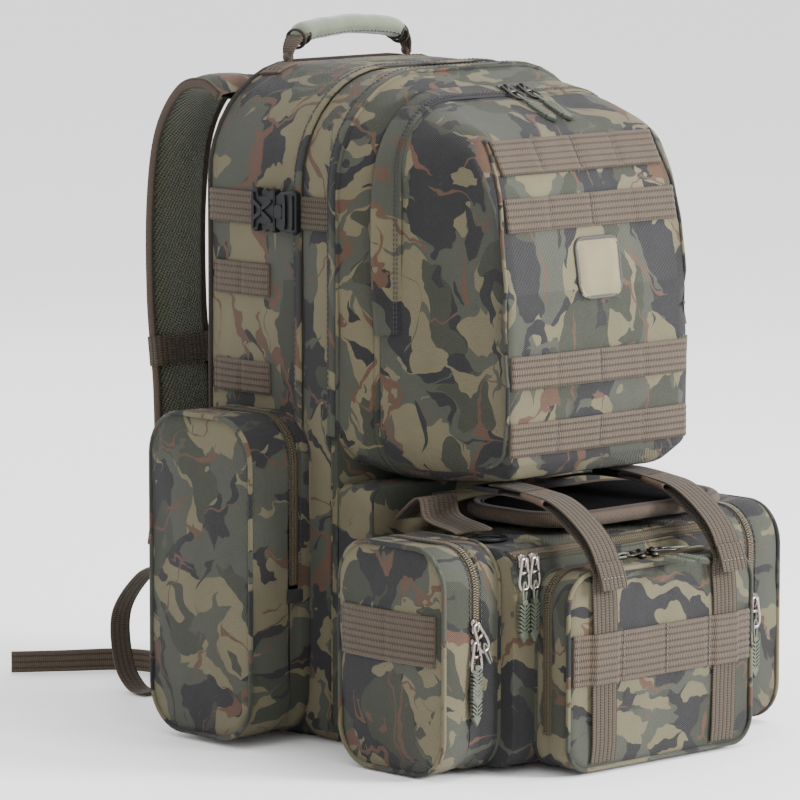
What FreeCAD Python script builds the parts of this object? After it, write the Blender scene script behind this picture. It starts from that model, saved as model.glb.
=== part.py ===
import FreeCAD, Part
import math
import os

# Hunting backpack with a zipped front pocket, two side pouches and a lashed-on waist pack.
# Millimetres.  +Z is up, the wearer's back is at +Y, the front pocket faces -Y and the
# wearer's left is -X.  The origin lies on the flat underside of the bag.

V = FreeCAD.Vector

# --- driving dimensions -----------------------------------------------------------------
CLOTH = 2.5            # cloth, foam and lining of one sewn wall
WEBBING = 1.6          # thickness of the woven straps
STRAP_W = 25.0         # width of the woven straps
GAP = 0.7              # space left between pieces that move apart
SEAM_SEAT = 0.3        # how far a loose piece stands off the wall behind it

HALF_W = 135.0         # main bag, half width
HEIGHT = 508.0         # main bag, height
TOP_R = 85.0           # rounding of its shoulders
FOOT_R = 25.0          # rounding of its lower corners
BACK_Y = 128.0         # face of the padded back
BACK_T = 12.0          # thickness of the padded back
MAIN_ZIP_Y = 28.0      # back edge of the main zip
ZIP_W = 6.0            # width of a zip's coil and visible tape
SECOND_ZIP_Y = -9.0    # back edge of the second compartment's zip
MAIN_ZIP_END_Z = 150.0
SECOND_ZIP_END_Z = 235.0
TRAY_FRONT_Y = -56.0   # front of the lower body, behind the waist pack
TRAY_TOP_Z = 201.0

POD_BACK_Y = SECOND_ZIP_Y - ZIP_W
POD_FRONT_Y = -42.0
# Sections of the front pocket: Y, half width, bottom, top, upper and lower corner radius.
POCKET_SECTIONS = [
    (-42.0, 122.0, 204.0, 495.0, 65.0, 45.0),
    (-80.0, 112.0, 206.0, 485.0, 42.0, 40.0),
    (-124.0, 101.0, 209.0, 464.0, 20.0, 32.0),
    (-145.0, 96.0, 213.0, 424.0, 12.0, 22.0),
    (-157.0, 94.0, 224.0, 352.0, 8.0, 10.0),
]
POCKET_HINGE_Z = 313.0  # seam where the pocket's zip ends and its flap folds down
POCKET_HINGE_Y = -159.5

ROW_TOPS = (463.0, 422.0, 306.0, 256.0)   # upper edges of the four webbing rows
ROW_HALF_W = 93.0

SIDE_DEPTH = 62.0       # side pouch, how far it stands out
SIDE_Y = (15.0, 127.0)
SIDE_Z = (7.0, 250.0)
SIDE_R = 34.0
SIDE_HINGE_Z = 118.0

WAIST_BACK_Y = -58.0    # waist pack
WAIST_FRONT_Y = -190.0
WAIST_HALF_W = 121.0
WAIST_TOP_Z = 168.0
END_HALF_W = 179.0      # outer faces of the waist pack's end pouches
END_Y = (-176.0, -66.0)
END_Z = (4.0, 171.0)
END_R = 30.0
END_HINGE_Z = 66.0
CENTRE_HALF_W = 97.0
CENTRE_FRONT_Y = -225.0
CENTRE_Z = (5.0, 150.0)
CENTRE_R = 24.0
LASH_X = 64.0           # the two vertical straps round the waist pack
BAND_Z = (68.0, 106.0)  # 38 mm webbing band on the centre pouch

STRAP_X = (68.0, 122.0)  # padded shoulder strap, inner and outer edge
STRAP_T = 12.0
STRAP_LINE = [(131.2, 485.0), (150.0, 494.0), (178.0, 487.0), (203.0, 452.0), (213.0, 395.0),
              (213.0, 320.0), (206.0, 250.0), (206.0, 180.0), (214.0, 128.0)]
LOCK_YZ = (218.0, 112.0)  # ladder lock at the strap's lower end
D_RING_Z = 380.0

FLOOR_CLEAR = 0.5
TAIL_PATH = [(-93.0, 246.0), (-62.0, 262.0), (-30.0, 300.0), (-36.0, 344.0), (-75.0, 374.0),
             (-112.0, 400.0)]  # the left strap's loose end, lying on the ground

HANDLE_HALF_L = 62.0
HANDLE_Y = 118.0
HANDLE_TOP_Z = 535.0
GRIP_R = 9.0
HANDLE_LIFT = 1.0        # bottom of the legs above the bag's top
FOOT_HALF = 4.0          # rounded foot of each leg, half depth
GATHER_H = 15.0          # height over which a leg narrows to its foot

BUCKLE_Z = 404.0         # compression strap and its side-release buckle
BUCKLE_Y = (22.0, 72.0)
BUCKLE_H = 33.0
BUCKLE_T = 10.0

FRONT_PULL_YZ = (-56.0, 492.0)   # sliders of the front pocket's zip, at its top
FRONT_PULL_TILT = 68.0           # how far their pulls lie forward over the pocket

PULL_PIN = 4.5                   # pull's pivot, this far in front of its slider's back

SIDES = {"left": -1.0, "right": 1.0}


# --- helpers ----------------------------------------------------------------------------
def save(name, shape):
    shape.exportStep("parts/" + name + ".step")
    print("%-26s %9.1f mm3  %s" % (name, shape.Volume, "ok" if shape.isValid() else "INVALID"))


def box(x, y, z):
    """A box from three (low, high) pairs."""
    return Part.makeBox(x[1] - x[0], y[1] - y[0], z[1] - z[0], V(x[0], y[0], z[0]))


def rounded_wire(corners, radii, place):
    """A closed outline with an arc at each corner; place() puts a flat point in space."""
    edges = []
    count = len(corners)
    starts = []
    ends = []
    mids = []
    for i in range(count):
        before = FreeCAD.Vector(*corners[i - 1], 0)
        here = FreeCAD.Vector(*corners[i], 0)
        after = FreeCAD.Vector(*corners[(i + 1) % count], 0)
        into = (before - here).normalize()
        out = (after - here).normalize()
        half_angle = into.getAngle(out) / 2.0
        reach = radii[i] / math.tan(half_angle)
        middle = (into + out).normalize()
        centre_gap = radii[i] / math.sin(half_angle) - radii[i]
        starts.append(here + into * reach)
        ends.append(here + out * reach)
        mids.append(here + middle * centre_gap)
    for i in range(count):
        nxt = (i + 1) % count
        edges.append(Part.Arc(place(starts[i]), place(mids[i]), place(ends[i])).toShape())
        edges.append(Part.LineSegment(place(ends[i]), place(starts[nxt])).toShape())
    return Part.Wire(edges)


def bag_outline(y, half_w, low, high, top_r, foot_r):
    """Outline facing Y with large upper and small lower corners."""
    corners = [(-half_w, low), (half_w, low), (half_w, high), (-half_w, high)]
    radii = [foot_r, foot_r, top_r, top_r]
    return rounded_wire(corners, radii, lambda p: V(p.x, y, p.y))


def side_outline(x, y, z, r):
    """Outline facing X of a rounded rectangle."""
    corners = [(y[0], z[0]), (y[1], z[0]), (y[1], z[1]), (y[0], z[1])]
    return rounded_wire(corners, [r] * 4, lambda p: V(x, p.x, p.y))


def flat_outline(z, x, y, r):
    """Outline facing Z of a rounded rectangle."""
    corners = [(x[0], y[0]), (x[1], y[0]), (x[1], y[1]), (x[0], y[1])]
    return rounded_wire(corners, [r] * 4, lambda p: V(p.x, p.y, z))


def slab(wire, direction):
    return Part.Face(wire).extrude(direction)


def body_slab(y0, y1, inset):
    """The main bag's own outline, inset, filled between two depths."""
    wire = bag_outline(y0, HALF_W - inset, inset, HEIGHT - inset, TOP_R - inset, FOOT_R - inset)
    return slab(wire, V(0, y1 - y0, 0))


def body_ring(y0, y1):
    return body_slab(y0, y1, 0.0).cut(body_slab(y0, y1, CLOTH))


def above(z, y):
    return box((-300, 300), y, (z, 700))


def below(z, y):
    return box((-300, 300), y, (-10, z))


def mirrored(shape, sign):
    """The shape as modelled on the left, or its mirror image on the right."""
    if sign < 0:
        return shape
    return shape.mirror(V(0, 0, 0), V(1, 0, 0))


def ribbon(line, thickness, x):
    """A strap that follows a line of (y, z) points and is flat along X."""
    upper = []
    lower = []
    last = len(line) - 1
    for i, (y, z) in enumerate(line):
        a = line[max(i - 1, 0)]
        b = line[min(i + 1, last)]
        run = math.hypot(b[0] - a[0], b[1] - a[1])
        ny = -(b[1] - a[1]) / run * thickness / 2.0
        nz = (b[0] - a[0]) / run * thickness / 2.0
        upper.append(V(x[0], y + ny, z + nz))
        lower.append(V(x[0], y - ny, z - nz))
    lower.reverse()
    edges = []
    for points in (upper, lower):
        curve = Part.BSplineCurve()
        curve.interpolate(points)
        edges.append(curve.toShape())
    edges.insert(1, Part.LineSegment(upper[-1], lower[0]).toShape())
    edges.append(Part.LineSegment(lower[-1], upper[0]).toShape())
    return slab(Part.Wire(edges), V(x[1] - x[0], 0, 0))


def rod(start, end, radius):
    run = end - start
    return Part.makeCylinder(radius, run.Length, start, run)


# --- main bag ---------------------------------------------------------------------------
def main_bag():
    save("back_panel", body_slab(BACK_Y - BACK_T, BACK_Y, 1.0))
    sheet = bag_outline(BACK_Y - BACK_T - 1.5, HALF_W - 14, 14, HEIGHT - 20, TOP_R - 10, 12)
    save("frame_sheet", slab(sheet, V(0, 1.5, 0)))
    pads = []
    for x in ((-92.0, -12.0), (12.0, 92.0)):
        pads.append(slab(bag_pad(x, (170.0, 440.0)), V(0, 9, 0)))
    pads.append(slab(bag_pad((-104.0, 104.0), (28.0, 140.0)), V(0, 11, 0)))
    save("back_pads", Part.makeCompound(pads))

    save("main_gusset", body_ring(MAIN_ZIP_Y, BACK_Y - BACK_T))
    main_zip = body_ring(MAIN_ZIP_Y - ZIP_W, MAIN_ZIP_Y)
    zip_band = (MAIN_ZIP_Y - ZIP_W - 1, MAIN_ZIP_Y + 1)
    second = body_ring(SECOND_ZIP_Y, MAIN_ZIP_Y - ZIP_W)
    seam = main_zip.common(below(MAIN_ZIP_END_Z, zip_band))
    save("second_gusset", second.fuse(seam).removeSplitter())
    second_zip = body_ring(POD_BACK_Y, SECOND_ZIP_Y)
    pod_band = (POD_BACK_Y - 1, SECOND_ZIP_Y + 1)
    zips = [main_zip.common(above(MAIN_ZIP_END_Z, zip_band)),
            second_zip.common(above(SECOND_ZIP_END_Z, pod_band))]

    lower_seam = second_zip.common(below(SECOND_ZIP_END_Z, pod_band))
    outer = bag_outline(TRAY_FRONT_Y, HALF_W - 1, 0, TRAY_TOP_Z, 6, FOOT_R)
    inner = bag_outline(TRAY_FRONT_Y + CLOTH, HALF_W - 1 - CLOTH, CLOTH, TRAY_TOP_Z - CLOTH, 3.5,
                        FOOT_R - CLOTH)
    tray = slab(outer, V(0, POD_BACK_Y - TRAY_FRONT_Y, 0))
    tray = tray.cut(slab(inner, V(0, 80, 0)))
    save("lower_front", tray.fuse(lower_seam).removeSplitter())

    divider = body_slab(MAIN_ZIP_Y - 1.0, MAIN_ZIP_Y + 0.5, CLOTH)
    y, half_w, low, high, top_r, foot_r = POCKET_SECTIONS[0]
    lining = bag_outline(y + 1.5, half_w - 5, low + 5, high - 5, top_r - 5, foot_r - 5)
    save("dividers", Part.makeCompound([divider, slab(lining, V(0, 1.5, 0))]))
    return zips


def bag_pad(x, z):
    corners = [(x[0], z[0]), (x[1], z[0]), (x[1], z[1]), (x[0], z[1])]
    return rounded_wire(corners, [22.0] * 4, lambda p: V(p.x, BACK_Y, p.y))


# --- front pocket -----------------------------------------------------------------------
def pocket_loft(inset, back_reach):
    """The pocket's rounded outer form, or the space inside it."""
    wires = []
    for y, half_w, low, high, top_r, foot_r in POCKET_SECTIONS:
        depth = y + inset
        wires.append(bag_outline(depth, half_w - inset, low + inset, high - inset,
                                 top_r - inset, foot_r - inset))
    form = Part.makeLoft(wires, True, True)
    if back_reach:
        y, half_w, low, high, top_r, foot_r = POCKET_SECTIONS[0]
        mouth = bag_outline(y + inset, half_w - inset, low + inset, high - inset,
                            top_r - inset, foot_r - inset)
        form = form.fuse(slab(mouth, V(0, back_reach, 0)))
    return form


def pod_gusset():
    y, half_w, low, high, top_r, foot_r = POCKET_SECTIONS[0]
    wires = []
    for inset in (0.0, CLOTH):
        back = bag_outline(POD_BACK_Y, HALF_W - inset, 214 + inset, HEIGHT - inset,
                           TOP_R - inset, 38 - inset)
        front = bag_outline(y, half_w - inset, low + inset, high - inset, top_r - inset,
                            foot_r - inset)
        wires.append(Part.makeLoft([back, front], True, True))
    save("pod_gusset", wires[0].cut(wires[1]))


def front_pocket():
    shell = pocket_loft(0.0, 0.0).cut(pocket_loft(CLOTH, 2.0))
    zip_front = POD_FRONT_Y - ZIP_W
    zip_zone = above(POCKET_HINGE_Z, (zip_front, 0))
    save("front_pocket_lower", shell.common(below(POCKET_HINGE_Z - GAP, (-300, 0))))
    flap_zone = above(POCKET_HINGE_Z, (-300, zip_front - GAP))
    save("front_flap", shell.common(flap_zone))
    return shell.common(zip_zone)


def pocket_front_y(z):
    """Depth of the pocket's front face at a height, midway across."""
    profile = [(s[3], s[0]) for s in POCKET_SECTIONS]
    profile.sort()
    if z <= profile[0][0]:
        return profile[0][1]
    for (z0, y0), (z1, y1) in zip(profile, profile[1:]):
        if z <= z1:
            return y0 + (y1 - y0) * (z - z0) / (z1 - z0)
    return profile[-1][1]


def webbing_row(top):
    """One horizontal row of webbing that lies on the pocket's face."""
    bottom = top - STRAP_W
    levels = [bottom]
    levels.extend(sorted(s[3] for s in POCKET_SECTIONS if bottom < s[3] < top))
    levels.append(top)
    face = [V(-ROW_HALF_W, pocket_front_y(z), z) for z in levels]
    front = [p + V(0, -WEBBING, 0) for p in reversed(face)]
    outline = Part.makePolygon(face + front + face[:1])
    return slab(outline, V(2 * ROW_HALF_W, 0, 0))


def front_trim():
    rows = [webbing_row(top) for top in ROW_TOPS]
    save("front_webbing_upper", Part.makeCompound(rows[:2]))
    save("front_webbing_lower", Part.makeCompound(rows[2:]))
    low = 343.0
    high = 390.0
    face = [V(-22, pocket_front_y(z), z) for z in (low, POCKET_SECTIONS[-1][3], high)]
    front = [p + V(0, -1.2, 0) for p in reversed(face)]
    save("front_badge", slab(Part.makePolygon(face + front + face[:1]), V(48, 0, 0)))
    patches = []
    for sign in SIDES.values():
        for top in (362.0, 287.0):
            x = sorted((sign * HALF_W, sign * (HALF_W + WEBBING)))
            patches.append(box(x, (57.0, 120.0), (top - STRAP_W, top)))
    save("side_webbing", Part.makeCompound(patches))


# --- compression straps and side-release buckles ----------------------------------------
def compression(side, sign):
    wall = -HALF_W
    mid = BUCKLE_Z
    y0, y1 = BUCKLE_Y
    x_in = wall - 0.2
    x_out = x_in - BUCKLE_T
    half_h = BUCKLE_H / 2
    split = y0 + 22.0

    back_run = box((wall - WEBBING, wall), (y1 - 2, 124.0), (mid - 12.5, mid + 12.5))
    back_loop = box((x_in - 7, wall), (y1 - 2, y1), (mid - 12.5, mid + 12.5))
    front_run = box((wall - WEBBING, wall), (SECOND_ZIP_Y, y0), (mid - 12.5, mid + 12.5))
    straps = Part.makeCompound([back_run.fuse(back_loop).removeSplitter(), front_run])
    save("compression_strap_" + side, mirrored(straps, sign))

    body = box((x_out, x_in), (split + 0.5, y1 - 2), (mid - half_h, mid + half_h))
    cavity = box((x_out + 2, x_in - 2), (split - 1, y1 - 8), (mid - 13.5, mid + 13.5))
    window = box((x_out + 2, x_in - 2), (split + 7, split + 18), (mid - 30, mid + 30))
    body = body.cut(cavity).cut(window)
    save("buckle_socket_" + side, mirrored(body, sign))

    base = box((x_out + 1, x_in), (y0, split - 0.2), (mid - half_h + 1, mid + half_h - 1))
    slot = box((x_out - 1, x_in + 1), (y0 + 4, y0 + 8), (mid - 12.8, mid + 12.8))
    tongue = box((x_out + 3, x_in - 3), (split - 0.2, y1 - 10), (mid - 1.2, mid + 1.2))
    save("buckle_plug_" + side, mirrored(base.cut(slot).fuse(tongue).removeSplitter(), sign))

    for name, up in (("upper", 1.0), ("lower", -1.0)):
        stem_z = sorted((mid + up * 6.5, mid + up * 12.0))
        pad_z = sorted((mid + up * 12.0, mid + up * 16.0))
        stem = box((x_out + 3, x_in - 3), (split + 0.6, split + 18), stem_z)
        pad = box((x_out + 3, x_in - 3), (split + 9, split + 16.5), pad_z)
        arm = stem.fuse(pad).removeSplitter()
        save("buckle_arm_%s_%s" % (name, side), mirrored(arm, sign))


# --- carry handle -----------------------------------------------------------------------
def carry_handle():
    y = (HANDLE_Y - STRAP_W / 2, HANDLE_Y + STRAP_W / 2)
    half = HANDLE_HALF_L
    low = HEIGHT + HANDLE_LIFT
    high = HANDLE_TOP_Z
    top = high + GRIP_R
    outer = [V(-half, 0, low), V(-half + 12, 0, high), V(half - 12, 0, high), V(half, 0, low)]
    inner = [V(p.x - math.copysign(2.4, p.x), 0, p.z - (2.0 if p.z > low else 0.0))
             for p in reversed(outer)]
    loop = slab(Part.makePolygon(outer + inner + outer[:1]), V(0, y[1] - y[0], 0))
    loop.translate(V(0, y[0], 0))
    # Each leg gathers to a narrow rounded foot, so that it can fold flat either way.
    pivot = low + FOOT_HALF
    wide = -half - 10
    side = [V(wide, y[0], top), V(wide, y[0], pivot + GATHER_H),
            V(wide, HANDLE_Y - FOOT_HALF, pivot), V(wide, HANDLE_Y + FOOT_HALF, pivot),
            V(wide, y[1], pivot + GATHER_H), V(wide, y[1], top)]
    funnel = slab(Part.makePolygon(side + side[:1]), V(-2 * wide, 0, 0))
    funnel = funnel.fuse(rod(V(wide, HANDLE_Y, pivot), V(-wide, HANDLE_Y, pivot), FOOT_HALF))
    loop = loop.common(funnel)
    sleeve_half = half - 16
    grip = Part.makeCylinder(GRIP_R, 2 * sleeve_half, V(-sleeve_half, HANDLE_Y, high - 1),
                             V(1, 0, 0))
    grip = grip.common(box((-half, half), (HANDLE_Y - 30, HANDLE_Y + 30), (high - 9, high + 8)))
    save("handle_webbing", loop.cut(grip))
    save("handle_grip", grip)


# --- shoulder harness -------------------------------------------------------------------
def shoulder_strap(side, sign):
    x = (-STRAP_X[1], -STRAP_X[0])
    strap = ribbon(STRAP_LINE, STRAP_T, x)
    save("shoulder_strap_" + side, mirrored(strap, sign))

    centre = -(STRAP_X[0] + STRAP_X[1]) / 2
    outer_y = 213.0 + STRAP_T / 2
    pin_y = outer_y + 4.0
    ring = Part.makeTorus(11.0, 1.6, V(centre, pin_y, D_RING_Z), V(0, 1, 0))
    ring = ring.common(below(D_RING_Z, (pin_y - 5, pin_y + 5)))
    bar = rod(V(centre - 12.6, pin_y, D_RING_Z), V(centre + 12.6, pin_y, D_RING_Z), 1.6)
    save("d_ring_" + side, mirrored(ring.fuse(bar), sign))
    tab = box((centre - 8, centre + 8), (outer_y, outer_y + 7.0), (D_RING_Z - 3.0, D_RING_Z + 13))
    bore = rod(V(centre - 20, pin_y, D_RING_Z), V(centre + 20, pin_y, D_RING_Z), 1.65)
    keeper = box((x[0], x[1]), (outer_y, outer_y + 1.2), (D_RING_Z + 12, D_RING_Z + 32))
    keeper = keeper.fuse(tab).cut(bore).cut(strap).removeSplitter()

    y, z = LOCK_YZ
    lock = box((centre - 15, centre + 15), (y - 5, y + 3), (z - 14, z + 14))
    for low in (-9.0, 3.0):
        lock = lock.cut(box((centre - 12.5, centre + 12.5), (y - 9, y + 9), (z + low, z + low + 6)))

    web_x = (centre - 10, centre + 10)
    anchor_line = [(y - 6.2, z - 2), (y - 22, z - 34), (y - 52, z - 68), (BACK_Y + 1.0, 22.0)]
    save("adjuster_webbing_" + side, mirrored(ribbon(anchor_line, WEBBING, web_x), sign))
    return mirrored(keeper, sign), mirrored(lock, sign)


def edge_ribbon(path, thickness, width):
    """A strap that stands on its edge along a path of (x, y) points on the ground."""
    last = len(path) - 1
    sides = ([], [])
    for i, (x, y) in enumerate(path):
        a = path[max(i - 1, 0)]
        b = path[min(i + 1, last)]
        run = math.hypot(b[0] - a[0], b[1] - a[1])
        nx = -(b[1] - a[1]) / run * thickness / 2.0
        ny = (b[0] - a[0]) / run * thickness / 2.0
        sides[0].append(V(x + nx, y + ny, FLOOR_CLEAR))
        sides[1].append(V(x - nx, y - ny, FLOOR_CLEAR))
    sides[1].reverse()
    edges = []
    for points in sides:
        curve = Part.BSplineCurve()
        curve.interpolate(points)
        edges.append(curve.toShape())
    edges.insert(1, Part.LineSegment(sides[0][-1], sides[1][0]).toShape())
    edges.append(Part.LineSegment(sides[1][-1], sides[0][0]).toShape())
    return slab(Part.Wire(edges), V(0, 0, width))


def adjuster_tails():
    """The loose ends: each drops from its lock, and the left one runs off on its edge."""
    centre = (STRAP_X[0] + STRAP_X[1]) / 2
    y, z = LOCK_YZ
    drop = [(y + 4.3, z - 4), (y + 34, z - 14), (y + 64, z - 48), (y + 62, z - 88),
            (y + 46, 4.8), (y + 26, 2.0)]
    hanging = ribbon(drop, WEBBING, (centre - 10, centre + 10))
    save("adjuster_tail_right", hanging)
    left = hanging.mirror(V(0, 0, 0), V(1, 0, 0))
    run = edge_ribbon(TAIL_PATH, WEBBING, 18.0)
    save("adjuster_tail_left", left.fuse(run))


# --- pouches with a hinged, zipped cover -------------------------------------------------
def zipped_pouch(names, x_wall, x_face, y, z, r, hinge_z, split_x, sign):
    """A hollow pouch on the left side, cut into a fixed shell and a cover."""
    outer = slab(side_outline(x_face, y, z, r), V(x_wall - x_face, 0, 0))
    inner_y = (y[0] + CLOTH, y[1] - CLOTH)
    inner_z = (z[0] + CLOTH, z[1] - CLOTH)
    room = slab(side_outline(x_face + CLOTH, inner_y, inner_z, r - CLOTH),
                V(x_wall - x_face - 2 * CLOTH, 0, 0))
    hollow = outer.cut(room)
    cover_zone = box((x_face - 1, split_x), (y[0] - 1, y[1] + 1), (hinge_z, z[1] + 1))
    shell_cut = box((x_face - 1, split_x + GAP), (y[0] - 1, y[1] + 1), (hinge_z - GAP, z[1] + 1))
    save(names[0], mirrored(hollow.cut(shell_cut), sign))
    save(names[1], mirrored(hollow.common(cover_zone), sign))


def side_pouch(side, sign):
    names = ("side_pouch_" + side, "side_cover_" + side)
    x_wall = -HALF_W
    x_face = -HALF_W - SIDE_DEPTH
    zipped_pouch(names, x_wall, x_face, SIDE_Y, SIDE_Z, SIDE_R, SIDE_HINGE_Z,
                 x_wall - 19.0, sign)


def end_pouch(side, sign):
    names = ("end_pouch_" + side, "end_cover_" + side)
    zipped_pouch(names, -WAIST_HALF_W, -END_HALF_W, END_Y, END_Z, END_R, END_HINGE_Z,
                 -149.0, sign)


# --- waist pack -------------------------------------------------------------------------
def waist_pack():
    y = (WAIST_FRONT_Y, WAIST_BACK_Y)
    z = (4.0, WAIST_TOP_Z)
    outer = slab(side_outline(-WAIST_HALF_W, y, z, 24.0), V(2 * WAIST_HALF_W, 0, 0))
    inner = slab(side_outline(-WAIST_HALF_W, (y[0] + CLOTH, y[1] - CLOTH),
                              (z[0] + CLOTH, z[1] - CLOTH), 21.5), V(2 * WAIST_HALF_W, 0, 0))
    save("waist_body", outer.cut(inner))

    front = bag_outline(CENTRE_FRONT_Y, CENTRE_HALF_W, CENTRE_Z[0], CENTRE_Z[1], CENTRE_R, 20.0)
    inside = bag_outline(CENTRE_FRONT_Y + CLOTH, CENTRE_HALF_W - CLOTH, CENTRE_Z[0] + CLOTH,
                         CENTRE_Z[1] - CLOTH, CENTRE_R - CLOTH, 17.5)
    # The back edge lies on the flat of the waist pack's front, below its rounded shoulder.
    pouch = slab(front, V(0, WAIST_FRONT_Y - CENTRE_FRONT_Y, 0))
    save("centre_pouch", pouch.cut(slab(inside, V(0, 60, 0))))

    face = CENTRE_FRONT_Y
    band = box((-CENTRE_HALF_W + 2, CENTRE_HALF_W - 2), (face - WEBBING, face), BAND_Z)
    straps = [band]
    line = [(face - 2.6, 6.0), (face - 2.6, 60.0), (face - 2.8, 105.0), (face - 2.8, 140.0),
            (face + 6, 163.0), (-200.0, 180.0), (-178.0, 194.0), (-150.0, 198.6),
            (-100.0, 199.2), (TRAY_FRONT_Y - 0.3, 192.0)]
    for sign in SIDES.values():
        x = (sign * LASH_X - 12.5, sign * LASH_X + 12.5)
        straps.append(ribbon(line, WEBBING, x))
    tail_line = [(-160.0, 201.2), (-182.0, 198.2), (-207.0, 184.0), (-224.0, 168.0),
                 (-236.0, 140.0)]
    for sign in SIDES.values():
        x = (sign * LASH_X - 12.5, sign * LASH_X + 12.5)
        straps.append(ribbon(tail_line, WEBBING, x))
    save("lash_webbing", Part.makeCompound(straps))
    buckles = []
    for sign in SIDES.values():
        x = (sign * LASH_X - 16, sign * LASH_X + 16)
        frame = box(x, (-132.0, -104.0), (200.9, 204.3))
        for low in (-128.0, -115.0):
            frame = frame.cut(box((x[0] + 3, x[1] - 3), (low, low + 7), (190, 210)))
        buckles.append(frame)
    save("lash_buckles", Part.makeCompound(buckles))

    pad = slab(flat_outline(171.6, (-58.0, 132.0), (-172.0, -62.0), 40.0), V(0, 0, 16.0))
    save("belt_pad", pad)


def belt_hardware():
    """The folded belt webbing, its oval ring and its slide at the pack's left shoulder."""
    line = [(-60.0, 178.0), (-84.0, 196.0), (-92.0, 180.5), (-118.0, 174.0), (-126.0, 172.0)]
    save("belt_webbing", ribbon(line, WEBBING, (-118.0, -80.0)))
    ring = Part.makeTorus(12.0, 1.9, V(-99.0, -142.0, 170.4), V(0, 0, 1))
    save("belt_ring", ring)


# --- zip sliders and their hanging pulls -------------------------------------------------
def slider(at, tilt):
    """A slider body with the loop that its pull hangs from; tilt lays it on a slope."""
    body = box((at.x - 4, at.x + 4), (at.y - 3, at.y), (at.z - 6, at.z + 6))
    loop = Part.makeTorus(3.4, 0.6, V(at.x, at.y - 3, at.z), V(1, 0, 0))
    outside = box((at.x - 3, at.x + 3), (at.y - 9, at.y - 2.9), (at.z - 5, at.z + 5))
    whole = body.fuse(loop.common(outside))
    whole.rotate(at, V(-1, 0, 0), tilt)
    return whole


def pull(at, tilt):
    """Wire tab, cord and moulded grip that hang from a slider; tilt lays them forward."""
    y = at.y - PULL_PIN
    foot = at.z - 18.0
    tab = box((at.x - 4.4, at.x + 4.4), (y - 0.8, y + 0.8), (foot - 0.8, at.z + 0.8))
    tab = tab.cut(box((at.x - 2.8, at.x + 2.8), (y - 2, y + 2), (foot + 0.8, at.z - 0.8)))
    cord = rod(V(at.x, y, foot - 14), V(at.x, y, foot - 0.9), 1.4)
    grip = box((at.x - 4, at.x + 4), (y - 1.8, y + 1.8), (foot - 43, foot - 14))
    whole = Part.makeCompound([tab, cord.fuse(grip)])
    whole.rotate(at, V(-1, 0, 0), tilt)
    return whole


def zip_pulls():
    end_front = END_Y[0] - SEAM_SEAT
    waist_front = WAIST_FRONT_Y - SEAM_SEAT
    fixed = []
    for name, at in (("end_pull_left", V(-149.0, end_front, 100.0)),
                     ("end_pull_right", V(149.0, end_front, 100.0)),
                     ("waist_pull_outer", V(-114.0, waist_front, 160.0)),
                     ("waist_pull_inner", V(-103.0, waist_front, 160.0))):
        fixed.append(slider(at, 0.0))
        save(name, pull(at, 0.0))
    save("zip_sliders", Part.makeCompound(fixed))
    top = []
    for name, x in (("front_pull_left", 0.0), ("front_pull_right", 17.0)):
        at = V(x, FRONT_PULL_YZ[0], FRONT_PULL_YZ[1])
        top.append(slider(at, FRONT_PULL_TILT))
        save(name, pull(at, FRONT_PULL_TILT))
    save("front_sliders", Part.makeCompound(top))


os.makedirs("parts", exist_ok=True)
zip_arches = main_bag()
pod_gusset()
zip_arches.append(front_pocket())
save("zip_arches", Part.makeCompound(zip_arches))
front_trim()
carry_handle()
waist_pack()
belt_hardware()
adjuster_tails()
zip_pulls()
keepers = []
locks = []
for side_name, side_sign in SIDES.items():
    compression(side_name, side_sign)
    keeper_shape, lock_shape = shoulder_strap(side_name, side_sign)
    keepers.append(keeper_shape)
    locks.append(lock_shape)
    side_pouch(side_name, side_sign)
    end_pouch(side_name, side_sign)
save("d_ring_keepers", Part.makeCompound(keepers))
save("ladder_locks", Part.makeCompound(locks))
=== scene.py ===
import math

import bmesh
import bpy
from mathutils import Matrix, Vector, noise
from mathutils.bvhtree import BVHTree


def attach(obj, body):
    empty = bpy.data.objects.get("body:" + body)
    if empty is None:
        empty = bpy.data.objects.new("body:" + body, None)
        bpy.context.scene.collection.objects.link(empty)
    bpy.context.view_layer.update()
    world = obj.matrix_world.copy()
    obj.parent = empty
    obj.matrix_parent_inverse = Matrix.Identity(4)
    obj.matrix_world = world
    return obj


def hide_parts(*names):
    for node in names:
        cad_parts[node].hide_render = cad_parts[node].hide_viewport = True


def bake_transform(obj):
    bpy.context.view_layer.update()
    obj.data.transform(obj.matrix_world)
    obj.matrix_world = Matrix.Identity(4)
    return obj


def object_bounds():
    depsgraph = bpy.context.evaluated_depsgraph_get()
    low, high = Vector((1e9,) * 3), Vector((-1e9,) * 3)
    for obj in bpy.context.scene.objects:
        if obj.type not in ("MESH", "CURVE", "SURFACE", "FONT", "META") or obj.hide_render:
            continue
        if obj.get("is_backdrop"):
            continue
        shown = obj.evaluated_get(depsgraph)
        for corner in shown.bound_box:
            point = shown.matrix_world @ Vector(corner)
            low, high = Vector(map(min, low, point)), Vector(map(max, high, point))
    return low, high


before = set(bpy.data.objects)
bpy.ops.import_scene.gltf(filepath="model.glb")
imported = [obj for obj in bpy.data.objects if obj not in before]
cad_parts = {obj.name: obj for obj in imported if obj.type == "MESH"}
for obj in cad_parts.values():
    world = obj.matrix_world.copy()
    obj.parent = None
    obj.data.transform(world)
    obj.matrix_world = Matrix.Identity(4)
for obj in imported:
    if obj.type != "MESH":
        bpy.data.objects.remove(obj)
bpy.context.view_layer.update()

# A hunting backpack.  Lengths are millimetres in the CAD model's frame: +Z up, the front
# pocket at -Y, the wearer's left at -X.  make() turns them into metres.
MM = 0.001
SIDES = {"left": -1, "right": 1}
X_AXIS = Vector((1, 0, 0))
Y_AXIS = Vector((0, 1, 0))
Z_AXIS = Vector((0, 0, 1))

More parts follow.
